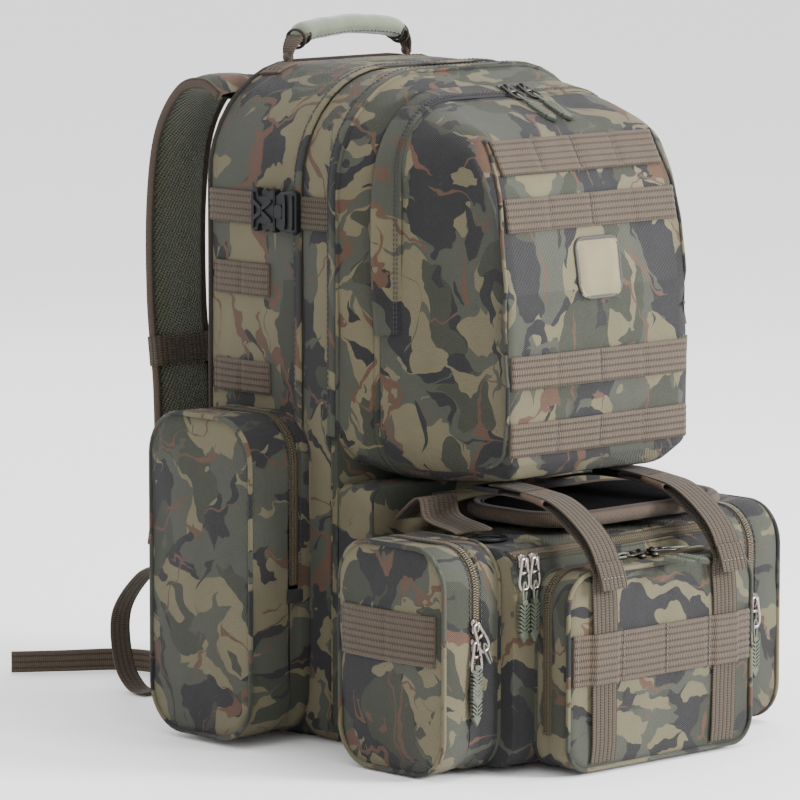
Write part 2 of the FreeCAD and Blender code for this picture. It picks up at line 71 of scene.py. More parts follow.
# --- main dimensions -----------------------------------------------------------------------
HALF_W = 135.0            # main bag
HEIGHT = 508.0
BACK_Y = 127.0            # seam of the padded back
FLOOR_Z = 0.4             # lowest cloth, just off the ground
MAIN_ZIP_END = 150.0      # heights where the two long zips end
SECOND_ZIP_END = 235.0
POCKET_FOLD_Z = 313.0     # where the front pocket's flap folds down
STRAP_W = 25.0            # woven strap
LASH_X = 64.0             # lash straps round the waist pack
SHOULDER_X = 95.0         # middle of each shoulder strap
BUCKLE_Z = 404.0          # compression straps
HANDLE_Y = 118.0
CLOTH = 1.6               # thickness given to shells that open

# --- camera, in metres ---------------------------------------------------------------------
CAMERA_AT = (-3.032, -3.147, 0.819)
CAMERA_TO = (-0.1313, -0.080, 0.271)
LENS = 257.56

# --- materials ---------------------------------------------------------------------------
def node(tree, kind, inputs=None, **settings):
    """Adds a shader node; inputs holds values, or the sockets to link from."""
    made = tree.nodes.new("ShaderNode" + kind)
    for key, value in settings.items():
        setattr(made, key, value)
    for key, value in (inputs or {}).items():
        if isinstance(value, bpy.types.NodeSocket):
            tree.links.new(value, made.inputs[key])
        else:
            made.inputs[key].default_value = value
    return made


def maths(tree, operation, a, b=0.0, c=None):
    inputs = {0: a, 1: b}
    if c is not None:
        inputs[2] = c
    return node(tree, "Math", inputs, operation=operation).outputs[0]


def linear(colour):
    """An sRGB 0-255 colour as linear values for a shader."""
    out = []
    for part in colour:
        c = part / 255
        out.append(c / 12.92 if c <= 0.04045 else ((c + 0.055) / 1.055) ** 2.4)
    return (*out, 1.0)


def shader(name, roughness, metallic=0.0, specular=0.4, sheen=0.0):
    material = bpy.data.materials.new(name)
    material.use_nodes = True
    tree = material.node_tree
    bsdf = tree.nodes["Principled BSDF"]
    bsdf.inputs["Roughness"].default_value = roughness
    bsdf.inputs["Metallic"].default_value = metallic
    bsdf.inputs["Specular IOR Level"].default_value = specular
    bsdf.inputs["Sheen Weight"].default_value = sheen
    return material, tree, bsdf


def mix(tree, factor, a, b):
    made = node(tree, "Mix", data_type="RGBA")
    for slot_index, value in ((0, factor), (6, a), (7, b)):
        if isinstance(value, bpy.types.NodeSocket):
            tree.links.new(value, made.inputs[slot_index])
        else:
            made.inputs[slot_index].default_value = value
    return made.outputs[2]


def set_bump(tree, bsdf, height, distance, strength=1.0):
    bump = node(tree, "Bump", {"Height": height, "Distance": distance, "Strength": strength})
    tree.links.new(bump.outputs[0], bsdf.inputs["Normal"])


def cloth_uv(tree):
    """The cloth's own directions, in millimetres: across and along."""
    uv = node(tree, "UVMap").outputs[0]
    parts = node(tree, "SeparateXYZ", {0: uv})
    return parts.outputs[0], parts.outputs[1]


def waves(tree, value, period):
    return maths(tree, "SINE", maths(tree, "MULTIPLY", value, 2 * math.pi / period))


KHAKI = linear((98, 92, 70))
SAGE = linear((62, 64, 55))
MOSS = linear((49, 51, 41))
CHARCOAL = linear((32, 31, 33))
RUST = linear((80, 58, 45))


def camo(name, shift, turn):
    """Printed camouflage twill; shift and turn place the print on each cut panel."""
    material, tree, bsdf = shader(name, 0.66, specular=0.22, sheen=0.06)
    place = node(tree, "TexCoord").outputs["Object"]
    point = node(tree, "Mapping", {0: place, "Location": shift, "Rotation": turn,
                                   "Scale": (12.5, 12.5, 12.5)}).outputs[0]

    def drift(scale, size, start):
        wobble = node(tree, "TexNoise", {"Vector": start, "Scale": scale, "Detail": 1.0})
        centred = node(tree, "VectorMath", {0: wobble.outputs["Color"], 1: (0.5, 0.5, 0.5)},
                       operation="SUBTRACT").outputs[0]
        moved = node(tree, "VectorMath", {0: centred, "Scale": size}, operation="SCALE")
        return node(tree, "VectorMath", {0: start, 1: moved.outputs[0]},
                    operation="ADD").outputs[0]

    swept = drift(6.0, 0.16, drift(1.3, 0.62, point))

    def patches(scale, offset, lean, stretch=0.5, detail=0.6):
        """Smooth blobs drawn out along one direction."""
        moved = node(tree, "Mapping", {0: swept, "Location": offset, "Rotation": lean,
                                       "Scale": (1, 1, stretch)}).outputs[0]
        return node(tree, "TexNoise", {"Vector": moved, "Scale": scale, "Detail": detail,
                                       "Roughness": 0.4}).outputs[0]

    def over(value, level):
        return maths(tree, "GREATER_THAN", value, level)

    def stroke(scale, offset, lean, width, mask_offset, mask_level):
        """Brush strokes with drawn-out, pointed ends."""
        value = patches(scale, offset, lean, 0.36, 0.4)
        gap = maths(tree, "ABSOLUTE", maths(tree, "SUBTRACT", value, 0.5))
        room = maths(tree, "SUBTRACT", patches(2.3, mask_offset, lean, 0.8), mask_level)
        return maths(tree, "LESS_THAN", gap, maths(tree, "MULTIPLY", room, width))

    colour = mix(tree, over(patches(1.5, (3, 8, 1), (0.4, 0.2, 0.9)), 0.5), SAGE, CHARCOAL)
    colour = mix(tree, over(patches(1.7, (5, 2, 9), (0.2, 0.9, 0.1)), 0.54), colour, KHAKI)
    colour = mix(tree, over(patches(1.9, (11, 4, 6), (0.8, 0.3, 0.4)), 0.575), colour, MOSS)
    colour = mix(tree, stroke(1.5, (1, 5, 17), (0.3, 0.8, 0), 0.30, (9, 9, 2), 0.49), colour,
                 KHAKI)
    colour = mix(tree, stroke(1.6, (21, 3, 7), (0.9, 0.2, 0.5), 0.26, (4, 13, 8), 0.49), colour,
                 CHARCOAL)
    colour = mix(tree, stroke(1.4, (7, 23, 5), (0.5, 0.6, 0.3), 0.085, (15, 6, 3), 0.44), colour,
                 RUST)
    colour = mix(tree, stroke(1.3, (27, 3, 15), (0.2, 1.1, 0.6), 0.08, (5, 16, 23), 0.45), colour,
                 RUST)
    colour = mix(tree, stroke(1.8, (17, 2, 31), (0.1, 0.5, 1.1), 0.20, (2, 26, 13), 0.5), colour,
                 SAGE)

    u, v = cloth_uv(tree)
    along = waves(tree, maths(tree, "ADD", u, v), 1.5)
    across = waves(tree, maths(tree, "SUBTRACT", u, v), 0.8)
    twill = maths(tree, "MULTIPLY_ADD", across, 0.5, along)
    tint = maths(tree, "MULTIPLY_ADD", twill, 0.11, 1.0)
    mottle = node(tree, "TexNoise", {"Vector": place, "Scale": 30.0, "Detail": 5.0}).outputs[0]
    tint = maths(tree, "MULTIPLY", tint, maths(tree, "MULTIPLY_ADD", mottle, 0.3, 0.85))
    speck = node(tree, "TexNoise", {"Vector": place, "Scale": 1400.0, "Detail": 1.0}).outputs[0]
    tint = maths(tree, "MULTIPLY", tint, maths(tree, "MULTIPLY_ADD", speck, 0.3, 0.85))
    shaded = node(tree, "VectorMath", {0: colour, "Scale": tint}, operation="SCALE").outputs[0]
    tree.links.new(shaded, bsdf.inputs["Base Color"])

    creases = node(tree, "TexNoise", {"Vector": place, "Scale": 38.0, "Detail": 4.0}).outputs[0]
    height = maths(tree, "MULTIPLY_ADD", creases, 10.0, twill)
    set_bump(tree, bsdf, height, 0.0002, 1.0)
    return material


def webbing_material(name, colour, rib, pick=1.7, gap=0.55):
    """Woven strap: raised cords along it with painted shade in the gaps between them, each crossed
    by short picks that carry painted light and shade.
    """
    material, tree, bsdf = shader(name, 0.78, specular=0.15, sheen=0.08)
    u, v = cloth_uv(tree)
    cord = maths(tree, "MULTIPLY_ADD", waves(tree, u, rib), 0.5, 0.5)
    body = maths(tree, "SMOOTH_MIN", maths(tree, "MULTIPLY", cord, 2.2), 1.0, 0.4)
    phase = maths(tree, "MULTIPLY", waves(tree, u, 2 * rib), 0.35)
    picks = waves(tree, maths(tree, "ADD", v, phase), pick)
    # Painted light and shade: each pick lightens the colour along its crest and darkens it between
    # picks.
    lit = maths(tree, "MULTIPLY_ADD", picks, 0.22, 0.78)
    level = maths(tree, "MULTIPLY", lit, maths(tree, "MULTIPLY_ADD", body, gap, 1 - gap))
    place = node(tree, "TexCoord").outputs["Object"]
    grain = node(tree, "TexNoise", {"Vector": place, "Scale": 420.0, "Detail": 3.0}).outputs[0]
    level = maths(tree, "MULTIPLY", level, maths(tree, "MULTIPLY_ADD", grain, 0.5, 0.75))
    # Painted shade: the gaps between the cords are darkened towards this colour to stand for the
    # shade in them.
    painted_shade_colour = tuple(c * 0.16 for c in colour[:3]) + (1.0,)
    tree.links.new(mix(tree, level, painted_shade_colour, colour), bsdf.inputs["Base Color"])
    height = maths(tree, "MULTIPLY_ADD", picks, 0.45, maths(tree, "MULTIPLY", body, 1.3))
    set_bump(tree, bsdf, height, 0.0004)
    return material


def mesh_material(name, colour):
    """Knitted spacer mesh: slanting rows of open cells, with painted shade darkening the inside of
    each cell.
    """
    material, tree, bsdf = shader(name, 0.8, specular=0.2, sheen=0.2)
    u, v = cloth_uv(tree)
    rows = waves(tree, maths(tree, "MULTIPLY_ADD", v, 0.55, u), 3.1)
    cells = waves(tree, maths(tree, "MULTIPLY_ADD", u, -0.5, v), 2.3)
    net = maths(tree, "MULTIPLY_ADD", cells, 0.7, rows)
    # Painted shade: the open cells are darkened to stand for the shade inside them.
    hole = maths(tree, "MULTIPLY_ADD", net, 0.42, 0.45)
    painted_shade_colour = tuple(c * 0.22 for c in colour[:3]) + (1.0,)
    tree.links.new(mix(tree, hole, painted_shade_colour, colour), bsdf.inputs["Base Color"])
    set_bump(tree, bsdf, net, 0.0005)
    return material


def plain(name, colour, roughness, metallic=0.0, specular=0.4, grain=400.0, depth=0.00004,
          spread=0.12, sheen=0.0):
    """Moulded, coated or plated stuff: one colour with fine grain and faint mottling."""
    material, tree, bsdf = shader(name, roughness, metallic, specular, sheen)
    place = node(tree, "TexCoord").outputs["Object"]
    fine = node(tree, "TexNoise", {"Vector": place, "Scale": grain, "Detail": 4.0}).outputs[0]
    broad = node(tree, "TexNoise", {"Vector": place, "Scale": 45.0, "Detail": 3.0}).outputs[0]
    dark = tuple(c * (1 - spread * 2) for c in colour[:3]) + (1.0,)
    light = tuple(min(1, c * (1 + spread)) for c in colour[:3]) + (1.0,)
    tree.links.new(mix(tree, broad, dark, light), bsdf.inputs["Base Color"])
    rough = maths(tree, "MULTIPLY_ADD", broad, 0.16, roughness - 0.08)
    tree.links.new(rough, bsdf.inputs["Roughness"])
    set_bump(tree, bsdf, fine, depth)
    return material


CAMO = [camo("camo_%d" % i, (2.1 * i, 3.7 * i, 1.3 * i), (0.2 * i, 0.35 * i, 0.5 * i))
        for i in range(6)]
WEB = webbing_material("webbing_brown", linear((82, 71, 60)), 5.0)
WEB_DARK = webbing_material("webbing_dark", linear((70, 61, 50)), 4.2, 2.0)
BINDING = webbing_material("binding_brown", linear((72, 60, 50)), 9.0, 1.3)
BIND_DARK = webbing_material("binding_dark", linear((46, 40, 34)), 9.0, 1.3)
TAPE = webbing_material("zip_tape", linear((70, 62, 44)), 2.0, 1.1, 0.3)
COIL = plain("zip_coil", linear((72, 63, 46)), 0.38, specular=0.5)
MESH = mesh_material("spacer_mesh", linear((86, 89, 68)))
SLEEVE = plain("sleeve_green", linear((92, 101, 82)), 0.85, grain=900.0, depth=0.0003,
               sheen=0.4)
FELT = plain("felt_black", linear((15, 15, 16)), 1.0, specular=0.02, grain=1500.0,
             depth=0.0005, spread=0.2, sheen=0.0)
BLACK = plain("black_plastic", linear((17, 18, 20)), 0.42, specular=0.25)
METAL = plain("slider_metal", linear((140, 132, 126)), 0.3, metallic=1.0)
GUNMETAL = plain("slider_gunmetal", linear((72, 70, 68)), 0.4, metallic=1.0)
CORD = plain("pull_cord", linear((88, 91, 80)), 0.7, grain=1500.0, depth=0.0002)
PULLER = plain("puller_green", linear((74, 79, 68)), 0.6, specular=0.3)
THREAD = plain("thread", linear((54, 52, 56)), 0.8)
THREAD_LIGHT = plain("thread_light", linear((96, 90, 88)), 0.8)
KEEPER = plain("keeper_brown", linear((78, 61, 50)), 0.7, grain=700.0, depth=0.0002)
PATCH = plain("patch_khaki", linear((116, 109, 86)), 0.75, specular=0.15, grain=700.0,
              depth=0.0002)
PATCH_DARK = plain("patch_dark", linear((48, 46, 40)), 0.6)
LINING = plain("lining_cloth", linear((54, 54, 48)), 0.7, grain=900.0, depth=0.0003)


# --- geometry ----------------------------------------------------------------------------
def make(name, verts, faces, uvs, material, smooth=True):
    """A mesh object from points in millimetres; uvs holds one list per face."""
    data = bpy.data.meshes.new(name)
    data.from_pydata([Vector(v) * MM for v in verts], [], faces)
    layer = data.uv_layers.new(name="UVMap")
    flat = [uv for face in uvs for uv in face]
    for entry, uv in zip(layer.data, flat):
        entry.uv = uv
    data.materials.append(material)
    for polygon in data.polygons:
        polygon.use_smooth = smooth
    piece = bpy.data.objects.new(name, data)
    bpy.context.scene.collection.objects.link(piece)
    return piece


class Build:
    """Collects points, faces and cloth coordinates for one piece."""

    def __init__(self):
        self.verts = []
        self.faces = []
        self.uvs = []

    def grid(self, rows, closed=False, us=None, vs=None):
        """Joins rows of points; closed rows meet at their ends."""
        base = len(self.verts)
        width = len(rows[0])
        for row in rows:
            self.verts.extend(row)
        if us is None:
            us = [0.0]
            loop = list(rows[len(rows) // 2])
            if closed:
                loop.append(loop[0])
            for a, b in zip(loop, loop[1:]):
                us.append(us[-1] + (b - a).length)
        if vs is None:
            vs = [0.0]
            for a, b in zip(rows, rows[1:]):
                vs.append(vs[-1] + (b[0] - a[0]).length)
        for j in range(len(rows) - 1):
            for i in range(width if closed else width - 1):
                n = (i + 1) % width
                self.faces.append((base + j * width + i, base + j * width + n,
                                   base + (j + 1) * width + n, base + (j + 1) * width + i))
                self.uvs.append([(us[i], vs[j]), (us[i + 1], vs[j]),
                                 (us[i + 1], vs[j + 1]), (us[i], vs[j + 1])])

    def dome(self, loop, centre, rise, rings, flat):
        """Closes a loop with a crowned panel; flat maps a point to cloth coordinates."""
        base = len(self.verts)
        count = len(loop)
        for k in range(rings):
            size = 1 - k / rings
            lift = 1 - size ** 2.6
            for p in loop:
                self.verts.append(centre + (p - centre) * size + rise * lift)
        self.verts.append(centre + rise)
        for k in range(rings - 1):
            for i in range(count):
                n = (i + 1) % count
                self.faces.append((base + k * count + i, base + k * count + n,
                                   base + (k + 1) * count + n, base + (k + 1) * count + i))
        last = base + (rings - 1) * count
        for i in range(count):
            self.faces.append((last + i, last + (i + 1) % count, base + rings * count))
        for face in self.faces[len(self.uvs):]:
            self.uvs.append([flat(self.verts[k]) for k in face])

    def block(self, centre, x, y, z):
        """A small chamfered bar with half sizes x, y, z along the given vectors."""
        base = len(self.verts)
        for sz in (-1, 1):
            for cx, cy in ((-1, -0.6), (-0.6, -1), (0.6, -1), (1, -0.6),
                           (1, 0.6), (0.6, 1), (-0.6, 1), (-1, 0.6)):
                self.verts.append(centre + x * cx + y * cy + z * sz)
        for i in range(8):
            n = (i + 1) % 8
            self.faces.append((base + i, base + n, base + 8 + n, base + 8 + i))
            self.uvs.append([(0, 0), (1, 0), (1, 1), (0, 1)])
        self.faces.append(tuple(base + i for i in reversed(range(8))))
        self.faces.append(tuple(base + 8 + i for i in range(8)))
        self.uvs.append([(0, 0)] * 8)
        self.uvs.append([(0, 0)] * 8)

    def tube(self, path, radius, closed=False, sides=8, flat=1.0, normal=None):
        """A round or flattened cord along a path."""
        rows = []
        count = len(path)
        up = normal or Vector((0.13, 0.29, 0.95))
        arc = [0.0]
        for i, p in enumerate(path):
            a = path[i - 1] if (i or closed) else p
            b = path[(i + 1) % count] if (i < count - 1 or closed) else p
            t = (b - a).normalized()
            if normal is None:
                up = (up - t * up.dot(t)).normalized()
            else:
                up = (normal - t * normal.dot(t)).normalized()
            side = t.cross(up)
            r = radius(i / max(1, count - 1)) if callable(radius) else radius
            rows.append([p + side * (r * math.cos(k * 2 * math.pi / sides))
                         + up * (r * flat * math.sin(k * 2 * math.pi / sides))
                         for k in range(sides)])
            if i:
                arc.append(arc[-1] + (p - path[i - 1]).length)
        if closed:
            rows.append(rows[0])
            arc.append(arc[-1] + (path[-1] - path[0]).length)
        girth = (rows[0][0] - rows[0][sides // 2]).length * math.pi
        turn = [girth * k / sides for k in range(sides + 1)]
        self.grid(rows, closed=True, us=turn, vs=arc)
        if not closed:
            for row, step in ((0, -1), (len(rows) - 1, 1)):
                start = len(self.verts) - len(rows) * sides + row * sides
                ring = [start + k for k in range(sides)]
                self.faces.append(tuple(ring[::step]))
                self.uvs.append([(0, 0)] * sides)

    def ribbon(self, left, right, normals, thickness=1.6, ribs=5, dents=()):
        """A woven strap between two edge lines, with raised lengthwise ribs."""
        steps = ribs * 4
        arc = [0.0]
        for i in range(1, len(left)):
            a = (left[i] + right[i]) / 2
            b = (left[i - 1] + right[i - 1]) / 2
            arc.append(arc[-1] + (a - b).length)
        rows = []
        for i, (l, r, n) in enumerate(zip(left, right, normals)):
            press = 1.0
            for d in dents:
                press = min(press, abs(arc[i] - d) / 3.5)
            top = []
            under = []
            for k in range(steps + 1):
                t = k / steps
                rib = 0.3 * math.cos(2 * math.pi * ribs * t)
                edge = -0.5 if k in (0, steps) else 0.0
                p = l.lerp(r, t)
                top.append(p + n * (thickness * (0.55 + 0.45 * press) + (edge - rib) * press))
                under.append(p)
            rows.append(top + under[::-1])
        width = (left[0] - right[0]).length
        across = [width * k / steps for k in range(steps + 1)]
        us = across + across[::-1] + [0.0]
        self.grid(rows, closed=True, us=us, vs=arc)
        size = 2 * (steps + 1)
        for row, step in ((0, -1), (len(rows) - 1, 1)):
            start = len(self.verts) - len(rows) * size + row * size
            ring = [start + k for k in range(size)][::step]
            self.faces.append(tuple(ring))
            self.uvs.append([(0, 0)] * size)

    def done(self, name, material, smooth=True):
        return make(name, self.verts, self.faces, self.uvs, material, smooth)


def resample(points, count, closed=True):
    """Evenly spaced points along a line."""
    line = list(points) + ([points[0]] if closed else [])
    lengths = [0.0]
    for a, b in zip(line, line[1:]):
        lengths.append(lengths[-1] + (b - a).length)
    total = lengths[-1]
    out = []
    j = 0
    for i in range(count):
        want = total * i / (count if closed else count - 1)
        while j < len(line) - 2 and lengths[j + 1] < want:
            j += 1
        run = lengths[j + 1] - lengths[j]
        t = (want - lengths[j]) / run if run else 0
        out.append(line[j].lerp(line[j + 1], min(1, t)))
    return out


def smooth_line(points, count):
    """A soft curve through given points (Catmull-Rom), evenly resampled."""
    pts = [Vector(p) for p in points]
    dense = []
    for i in range(len(pts) - 1):
        p0 = pts[max(0, i - 1)]
        p1 = pts[i]
        p2 = pts[i + 1]
        p3 = pts[min(len(pts) - 1, i + 2)]
        for k in range(16):
            t = k / 16
            dense.append(((p1 * 2) + (p2 - p0) * t + (p0 * 2 - p1 * 5 + p2 * 4 - p3) * t * t
                          + (p1 * 3 - p0 - p2 * 3 + p3) * t ** 3) / 2)
    dense.append(pts[-1])
    return resample(dense, count, closed=False)


def wrinkle(piece, size, scale, seed, keep=None):
    """Pushes the cloth in and out with soft, seeded noise."""
    data = piece.data
    normals = [v.normal.copy() for v in data.vertices]
    for v, n in zip(data.vertices, normals):
        p = v.co * scale + Vector((seed, seed * 0.7, -seed))
        push = noise.noise(p) + 0.5 * noise.noise(p * 2.3) + 0.25 * noise.noise(p * 5.1)
        weight = keep(v.co / MM) if keep else 1.0
        v.co += n * (push * size * MM * weight)
    data.update()


def thicken(piece, thickness):
    """Gives a shell its cloth thickness on the inside."""
    modifier = piece.modifiers.new("cloth", "SOLIDIFY")
    modifier.thickness = thickness * MM
    modifier.offset = -1
    bake(piece)


def bake(piece):
    """Applies a piece's modifiers."""
    graph = bpy.context.evaluated_depsgraph_get()
    done = bpy.data.meshes.new_from_object(piece.evaluated_get(graph))
    piece.modifiers.clear()
    piece.data = done


def settle(piece, body, slot_name, *nodes):
    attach(piece, body)
    if nodes:
        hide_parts(*nodes)
    return piece


def surface(*pieces):
    """A ray target made from pieces, in millimetres."""
    verts = []
    faces = []
    for piece in pieces:
        base = len(verts)
        verts.extend(v.co / MM for v in piece.data.vertices)
        faces.extend(tuple(base + k for k in p.vertices) for p in piece.data.polygons)
    tree = BVHTree.FromPolygons(verts, faces)

    def hit(start, direction):
        place, normal, _, _ = tree.ray_cast(Vector(start), Vector(direction))
        if place is None:
            return None, None
        d = Vector(direction)
        return place, (normal if normal.dot(d) < 0 else -normal)
    return hit


def stitches(name, lines, material, body, pitch=4.4, proud=0.25):
    """Running stitches along lines of (points, normal) pairs."""
    build = Build()
    for line, normal in lines:
        length = sum((b - a).length for a, b in zip(line, line[1:]))
        count = max(2, int(length / pitch))
        dots = resample(line, count * 2 + 1, closed=False)
        for k in range(0, len(dots) - 1, 2):
            a = dots[k]
            b = dots[k + 1]
            t = (b - a)
            n = normal if isinstance(normal, Vector) else normal((a + b) / 2)
            side = t.cross(n).normalized()
            build.block((a + b) / 2 + n * proud, side * 0.42, n * 0.32, t * 0.62)
    return settle(build.done(name, material), body, "webbing")


def zip_line(name, path, normals, body, tape=11.0):
    """A coil zip: tape each side and two rows of turned-over coils."""
    count = len(path)
    tapes = Build()
    teeth = Build()
    left = []
    right = []
    for i, p in enumerate(path):
        a = path[max(0, i - 1)]
        b = path[min(count - 1, i + 1)]
        side = (b - a).cross(normals[i]).normalized()
        left.append(p + side * tape / 2)
        right.append(p - side * tape / 2)
    tapes.ribbon(left, right, normals, thickness=0.8, ribs=2)
    length = sum((b - a).length for a, b in zip(path, path[1:]))
    number = int(length / 1.9)
    dots = resample(path, number, closed=False)
    near = 0
    for k in range(1, number - 1):
        t = (dots[k + 1] - dots[k - 1]).normalized()
        while near < count - 1 and ((path[near + 1] - dots[k]).length
                                    < (path[near] - dots[k]).length):
            near += 1
        n = normals[near]
        side = t.cross(n).normalized()
        for sign in (-1, 1):
            slant = side * 1.5 + t * 0.25 * sign
            teeth.block(dots[k] + side * 1.35 * sign + n * 1.25 + t * 0.45 * sign,
                        slant, n * 0.62, t * 0.55)
    settle(tapes.done(name + "_tape", TAPE), body, "zip_tape")
    settle(teeth.done(name + "_coil", COIL), body, "zip_tape")


# --- camera, floor and lights --------------------------------------------------------------
def aim(piece, where, target):
    piece.location = where
    piece.rotation_euler = (Vector(target) - Vector(where)).to_track_quat("-Z", "Y").to_euler()


def area(name, where, target, size, power, tint=(1, 1, 1)):
    lamp = bpy.data.lights.new(name, "AREA")
    lamp.shape = "DISK"
    lamp.size = size
    lamp.energy = power
    lamp.color = tint
    piece = bpy.data.objects.new(name, lamp)
    bpy.context.scene.collection.objects.link(piece)
    aim(piece, where, target)


camera_data = bpy.data.cameras.new("camera")
camera_data.lens = LENS
camera_data.sensor_width = 36.0
camera_data.clip_end = 50.0
camera = bpy.data.objects.new("camera", camera_data)
bpy.context.scene.collection.objects.link(camera)
aim(camera, CAMERA_AT, CAMERA_TO)
bpy.context.scene.camera = camera

floor_data = bpy.data.meshes.new("floor")
floor_data.from_pydata([(-9, -9, 0), (9, -9, 0), (9, 9, 0), (-9, 9, 0)], [], [(0, 1, 2, 3)])
floor = bpy.data.objects.new("floor", floor_data)
bpy.context.scene.collection.objects.link(floor)
floor_data.materials.append(plain("floor_white", linear((246, 246, 246)), 0.7, specular=0.1,
                                  spread=0.01))
floor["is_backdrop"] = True

world = bpy.data.worlds.new("studio")
world.use_nodes = True
world.node_tree.nodes["Background"].inputs["Color"].default_value = (1, 1, 1, 1)
world.node_tree.nodes["Background"].inputs["Strength"].default_value = 1.75
bpy.context.scene.world = world
area("key", (1.7, -2.8, 1.2), (0, -0.1, 0.26), 1.0, 270)
area("top", (0.5, -0.9, 2.8), (0, 0, 0.3), 1.0, 45)
area("rear", (1.2, 2.2, 1.3), (0, 0, 0.3), 0.8, 10)


# --- soft shells ---------------------------------------------------------------------------
def ring(a0, a1, b0, b1, r_low, r_high):
    """A rounded rectangle from its lower middle, with the same count of points each time."""
    def corner(cx, cy, r, start):
        return [Vector((cx + r * math.cos(math.radians(start + 10 * k)),
                        cy + r * math.sin(math.radians(start + 10 * k)), 0))
                for k in range(10)]

    corners = (corner(a1 - r_low, b0 + r_low, r_low, -90),
               corner(a1 - r_high, b1 - r_high, r_high, 0),
               corner(a0 + r_high, b1 - r_high, r_high, 90),
               corner(a0 + r_low, b0 + r_low, r_low, 180))
    start = Vector(((a0 + a1) / 2, b0, 0))
    points = [start.lerp(corners[0][0], k / 12) for k in range(12)]
    for i, arc in enumerate(corners):
        points.extend(arc[:-1])
        after = corners[i + 1][0] if i < 3 else start
        count = (30, 26, 30, 12)[i]
        points.extend(arc[-1].lerp(after, k / count) for k in range(count))
    return points


def bag_ring(y, half_w, low, high, foot_r, top_r):
    flat = ring(-half_w, half_w, low, high, foot_r, top_r)
    return [Vector((p.x, y, p.y)) for p in flat]


def outward(loop, axis):
    """Unit directions that point out of a closed loop."""
    centre = sum(loop, Vector()) / len(loop)
    out = []
    for i, p in enumerate(loop):
        n = (loop[(i + 1) % len(loop)] - loop[i - 1]).cross(axis).normalized()
        out.append(n if n.dot(p - centre) > 0 else -n)
    return out


def puffed(loop, axis, amount):
    """The loop moved out of itself; it never goes through the ground."""
    moved = [p + n * amount for p, n in zip(loop, outward(loop, axis))]
    return [Vector((p.x, p.y, max(0.3, p.z))) for p in moved]


def tidy(piece):
    """Turns every face outwards."""
    work = bmesh.new()
    work.from_mesh(piece.data)
    bmesh.ops.remove_doubles(work, verts=work.verts, dist=0.00002)
    bmesh.ops.recalc_face_normals(work, faces=work.faces)
    work.to_mesh(piece.data)
    work.free()
    piece.data.update()
    return piece


def swell(t, depth, seam=0.9):
    """How far cloth between two seams stands out, from one seam at 0 to the other at 1."""
    return depth * (math.sin(math.pi * min(1, max(0, t))) ** 0.5) - seam * (1 if t in (0, 1) else 0)


def gusset(name, section, y0, y1, depth, material, seed, rows=16):
    """A band of cloth round the bag between two seams; section(y) is its outline."""
    build = Build()
    steps = [0, 0.02, 0.06] + [0.1 + 0.8 * k / rows for k in range(rows + 1)] + [0.94, 0.98, 1]
    build.grid([puffed(section(y0 + (y1 - y0) * t), Y_AXIS, swell(t, depth)) for t in steps],
               closed=True)
    piece = tidy(build.done(name, material))
    wrinkle(piece, 0.9, 17.0, seed, keep=lambda p: 0.2 if p.z < 12 else 1.0)
    return piece


def body_section(y):
    return bag_ring(y, HALF_W, FLOOR_Z, HEIGHT, 25.0, 85.0)


def tray_section(y):
    return bag_ring(y, HALF_W - 1, FLOOR_Z, 201.0, 25.0, 9.0)


def pod_section(y):
    """The band that carries the front pocket narrows from the bag towards the pocket."""
    t = (y + 15.0) / -27.0
    return bag_ring(y, HALF_W - 13 * t, 214 - 10 * t, HEIGHT - 13 * t, 38 + 7 * t, 85 - 20 * t)


def piping(name, loop, radius, material, body, slot_name="camo_fabric", closed=True):
    build = Build()
    build.tube(loop, radius, closed=closed, sides=10)
    return settle(build.done(name, material), body, slot_name)


def arch_of(loop, low):
    """The part of a loop that lies above a height, from the +X side round to the -X side."""
    return [p for p in loop if p.z >= low]


def arch_strip(name, section, low, offsets, material, body, slot_name="camo_fabric"):
    """A strip round the top of the bag; offsets are (y, how far out) across the strip."""
    rows = []
    for y, out in offsets:
        loop = section(y)
        rows.append(arch_of(puffed(loop, Y_AXIS, out), low))
    build = Build()
    build.grid(rows)
    return settle(tidy(build.done(name, material)), body, slot_name)


def arch_zip(name, section, y, low, out, body):
    loop = section(y)
    normals = outward(loop, Y_AXIS)
    pairs = [(p + n * out, n) for p, n in zip(loop, normals) if p.z >= low]
    line = [p for p, _ in pairs]
    zip_line(name, line, [n for _, n in pairs], body)


main_gusset = gusset("gusset_back", body_section, 28.5, 126.5, 2.2, CAMO[0], 1.0)
settle(main_gusset, "bag", "camo_fabric", "main_gusset")
second_gusset = gusset("gusset_second", body_section, -8.5, 22.5, 1.4, CAMO[1], 2.0, rows=8)
settle(second_gusset, "bag", "camo_fabric", "second_gusset")
arch_zip("main_zip", body_section, 25.0, MAIN_ZIP_END, -1.5, "bag")
arch_zip("second_zip", body_section, -12.0, SECOND_ZIP_END, -1.5, "bag")
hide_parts("zip_arches")
for strip, y, low in (("main", 28.0, MAIN_ZIP_END), ("second", -9.0, SECOND_ZIP_END)):
    arch_strip("rain_flap_" + strip, body_section, low,
               [(y + 3.6, 1.1), (y + 2.4, 2.2), (y, 2.9), (y - 3, 3.3), (y - 5.6, 3.0),
                (y - 6.4, 2.2), (y - 5.8, 1.4), (y - 3, 1.5)], CAMO[2], "bag")
    arch = arch_of(puffed(body_section(y + 1.2), Y_AXIS, 2.9), low + 3)
    stitches("rain_flap_%s_stitches" % strip,
             [(arch, lambda p: (p - Vector((0, p.y, 250))).normalized())], THREAD, "bag")
    groove = Build()
    groove.grid([[p for p in puffed(body_section(y - 3 + d), Y_AXIS, h) if p.z <= low + 1]
                 for d, h in ((-3.6, 0.2), (-1, -0.8), (0, -1.4), (1, -0.8), (3.6, 0.2))])
    settle(tidy(groove.done("lower_seam_" + strip, CAMO[2])), "bag", "camo_fabric")

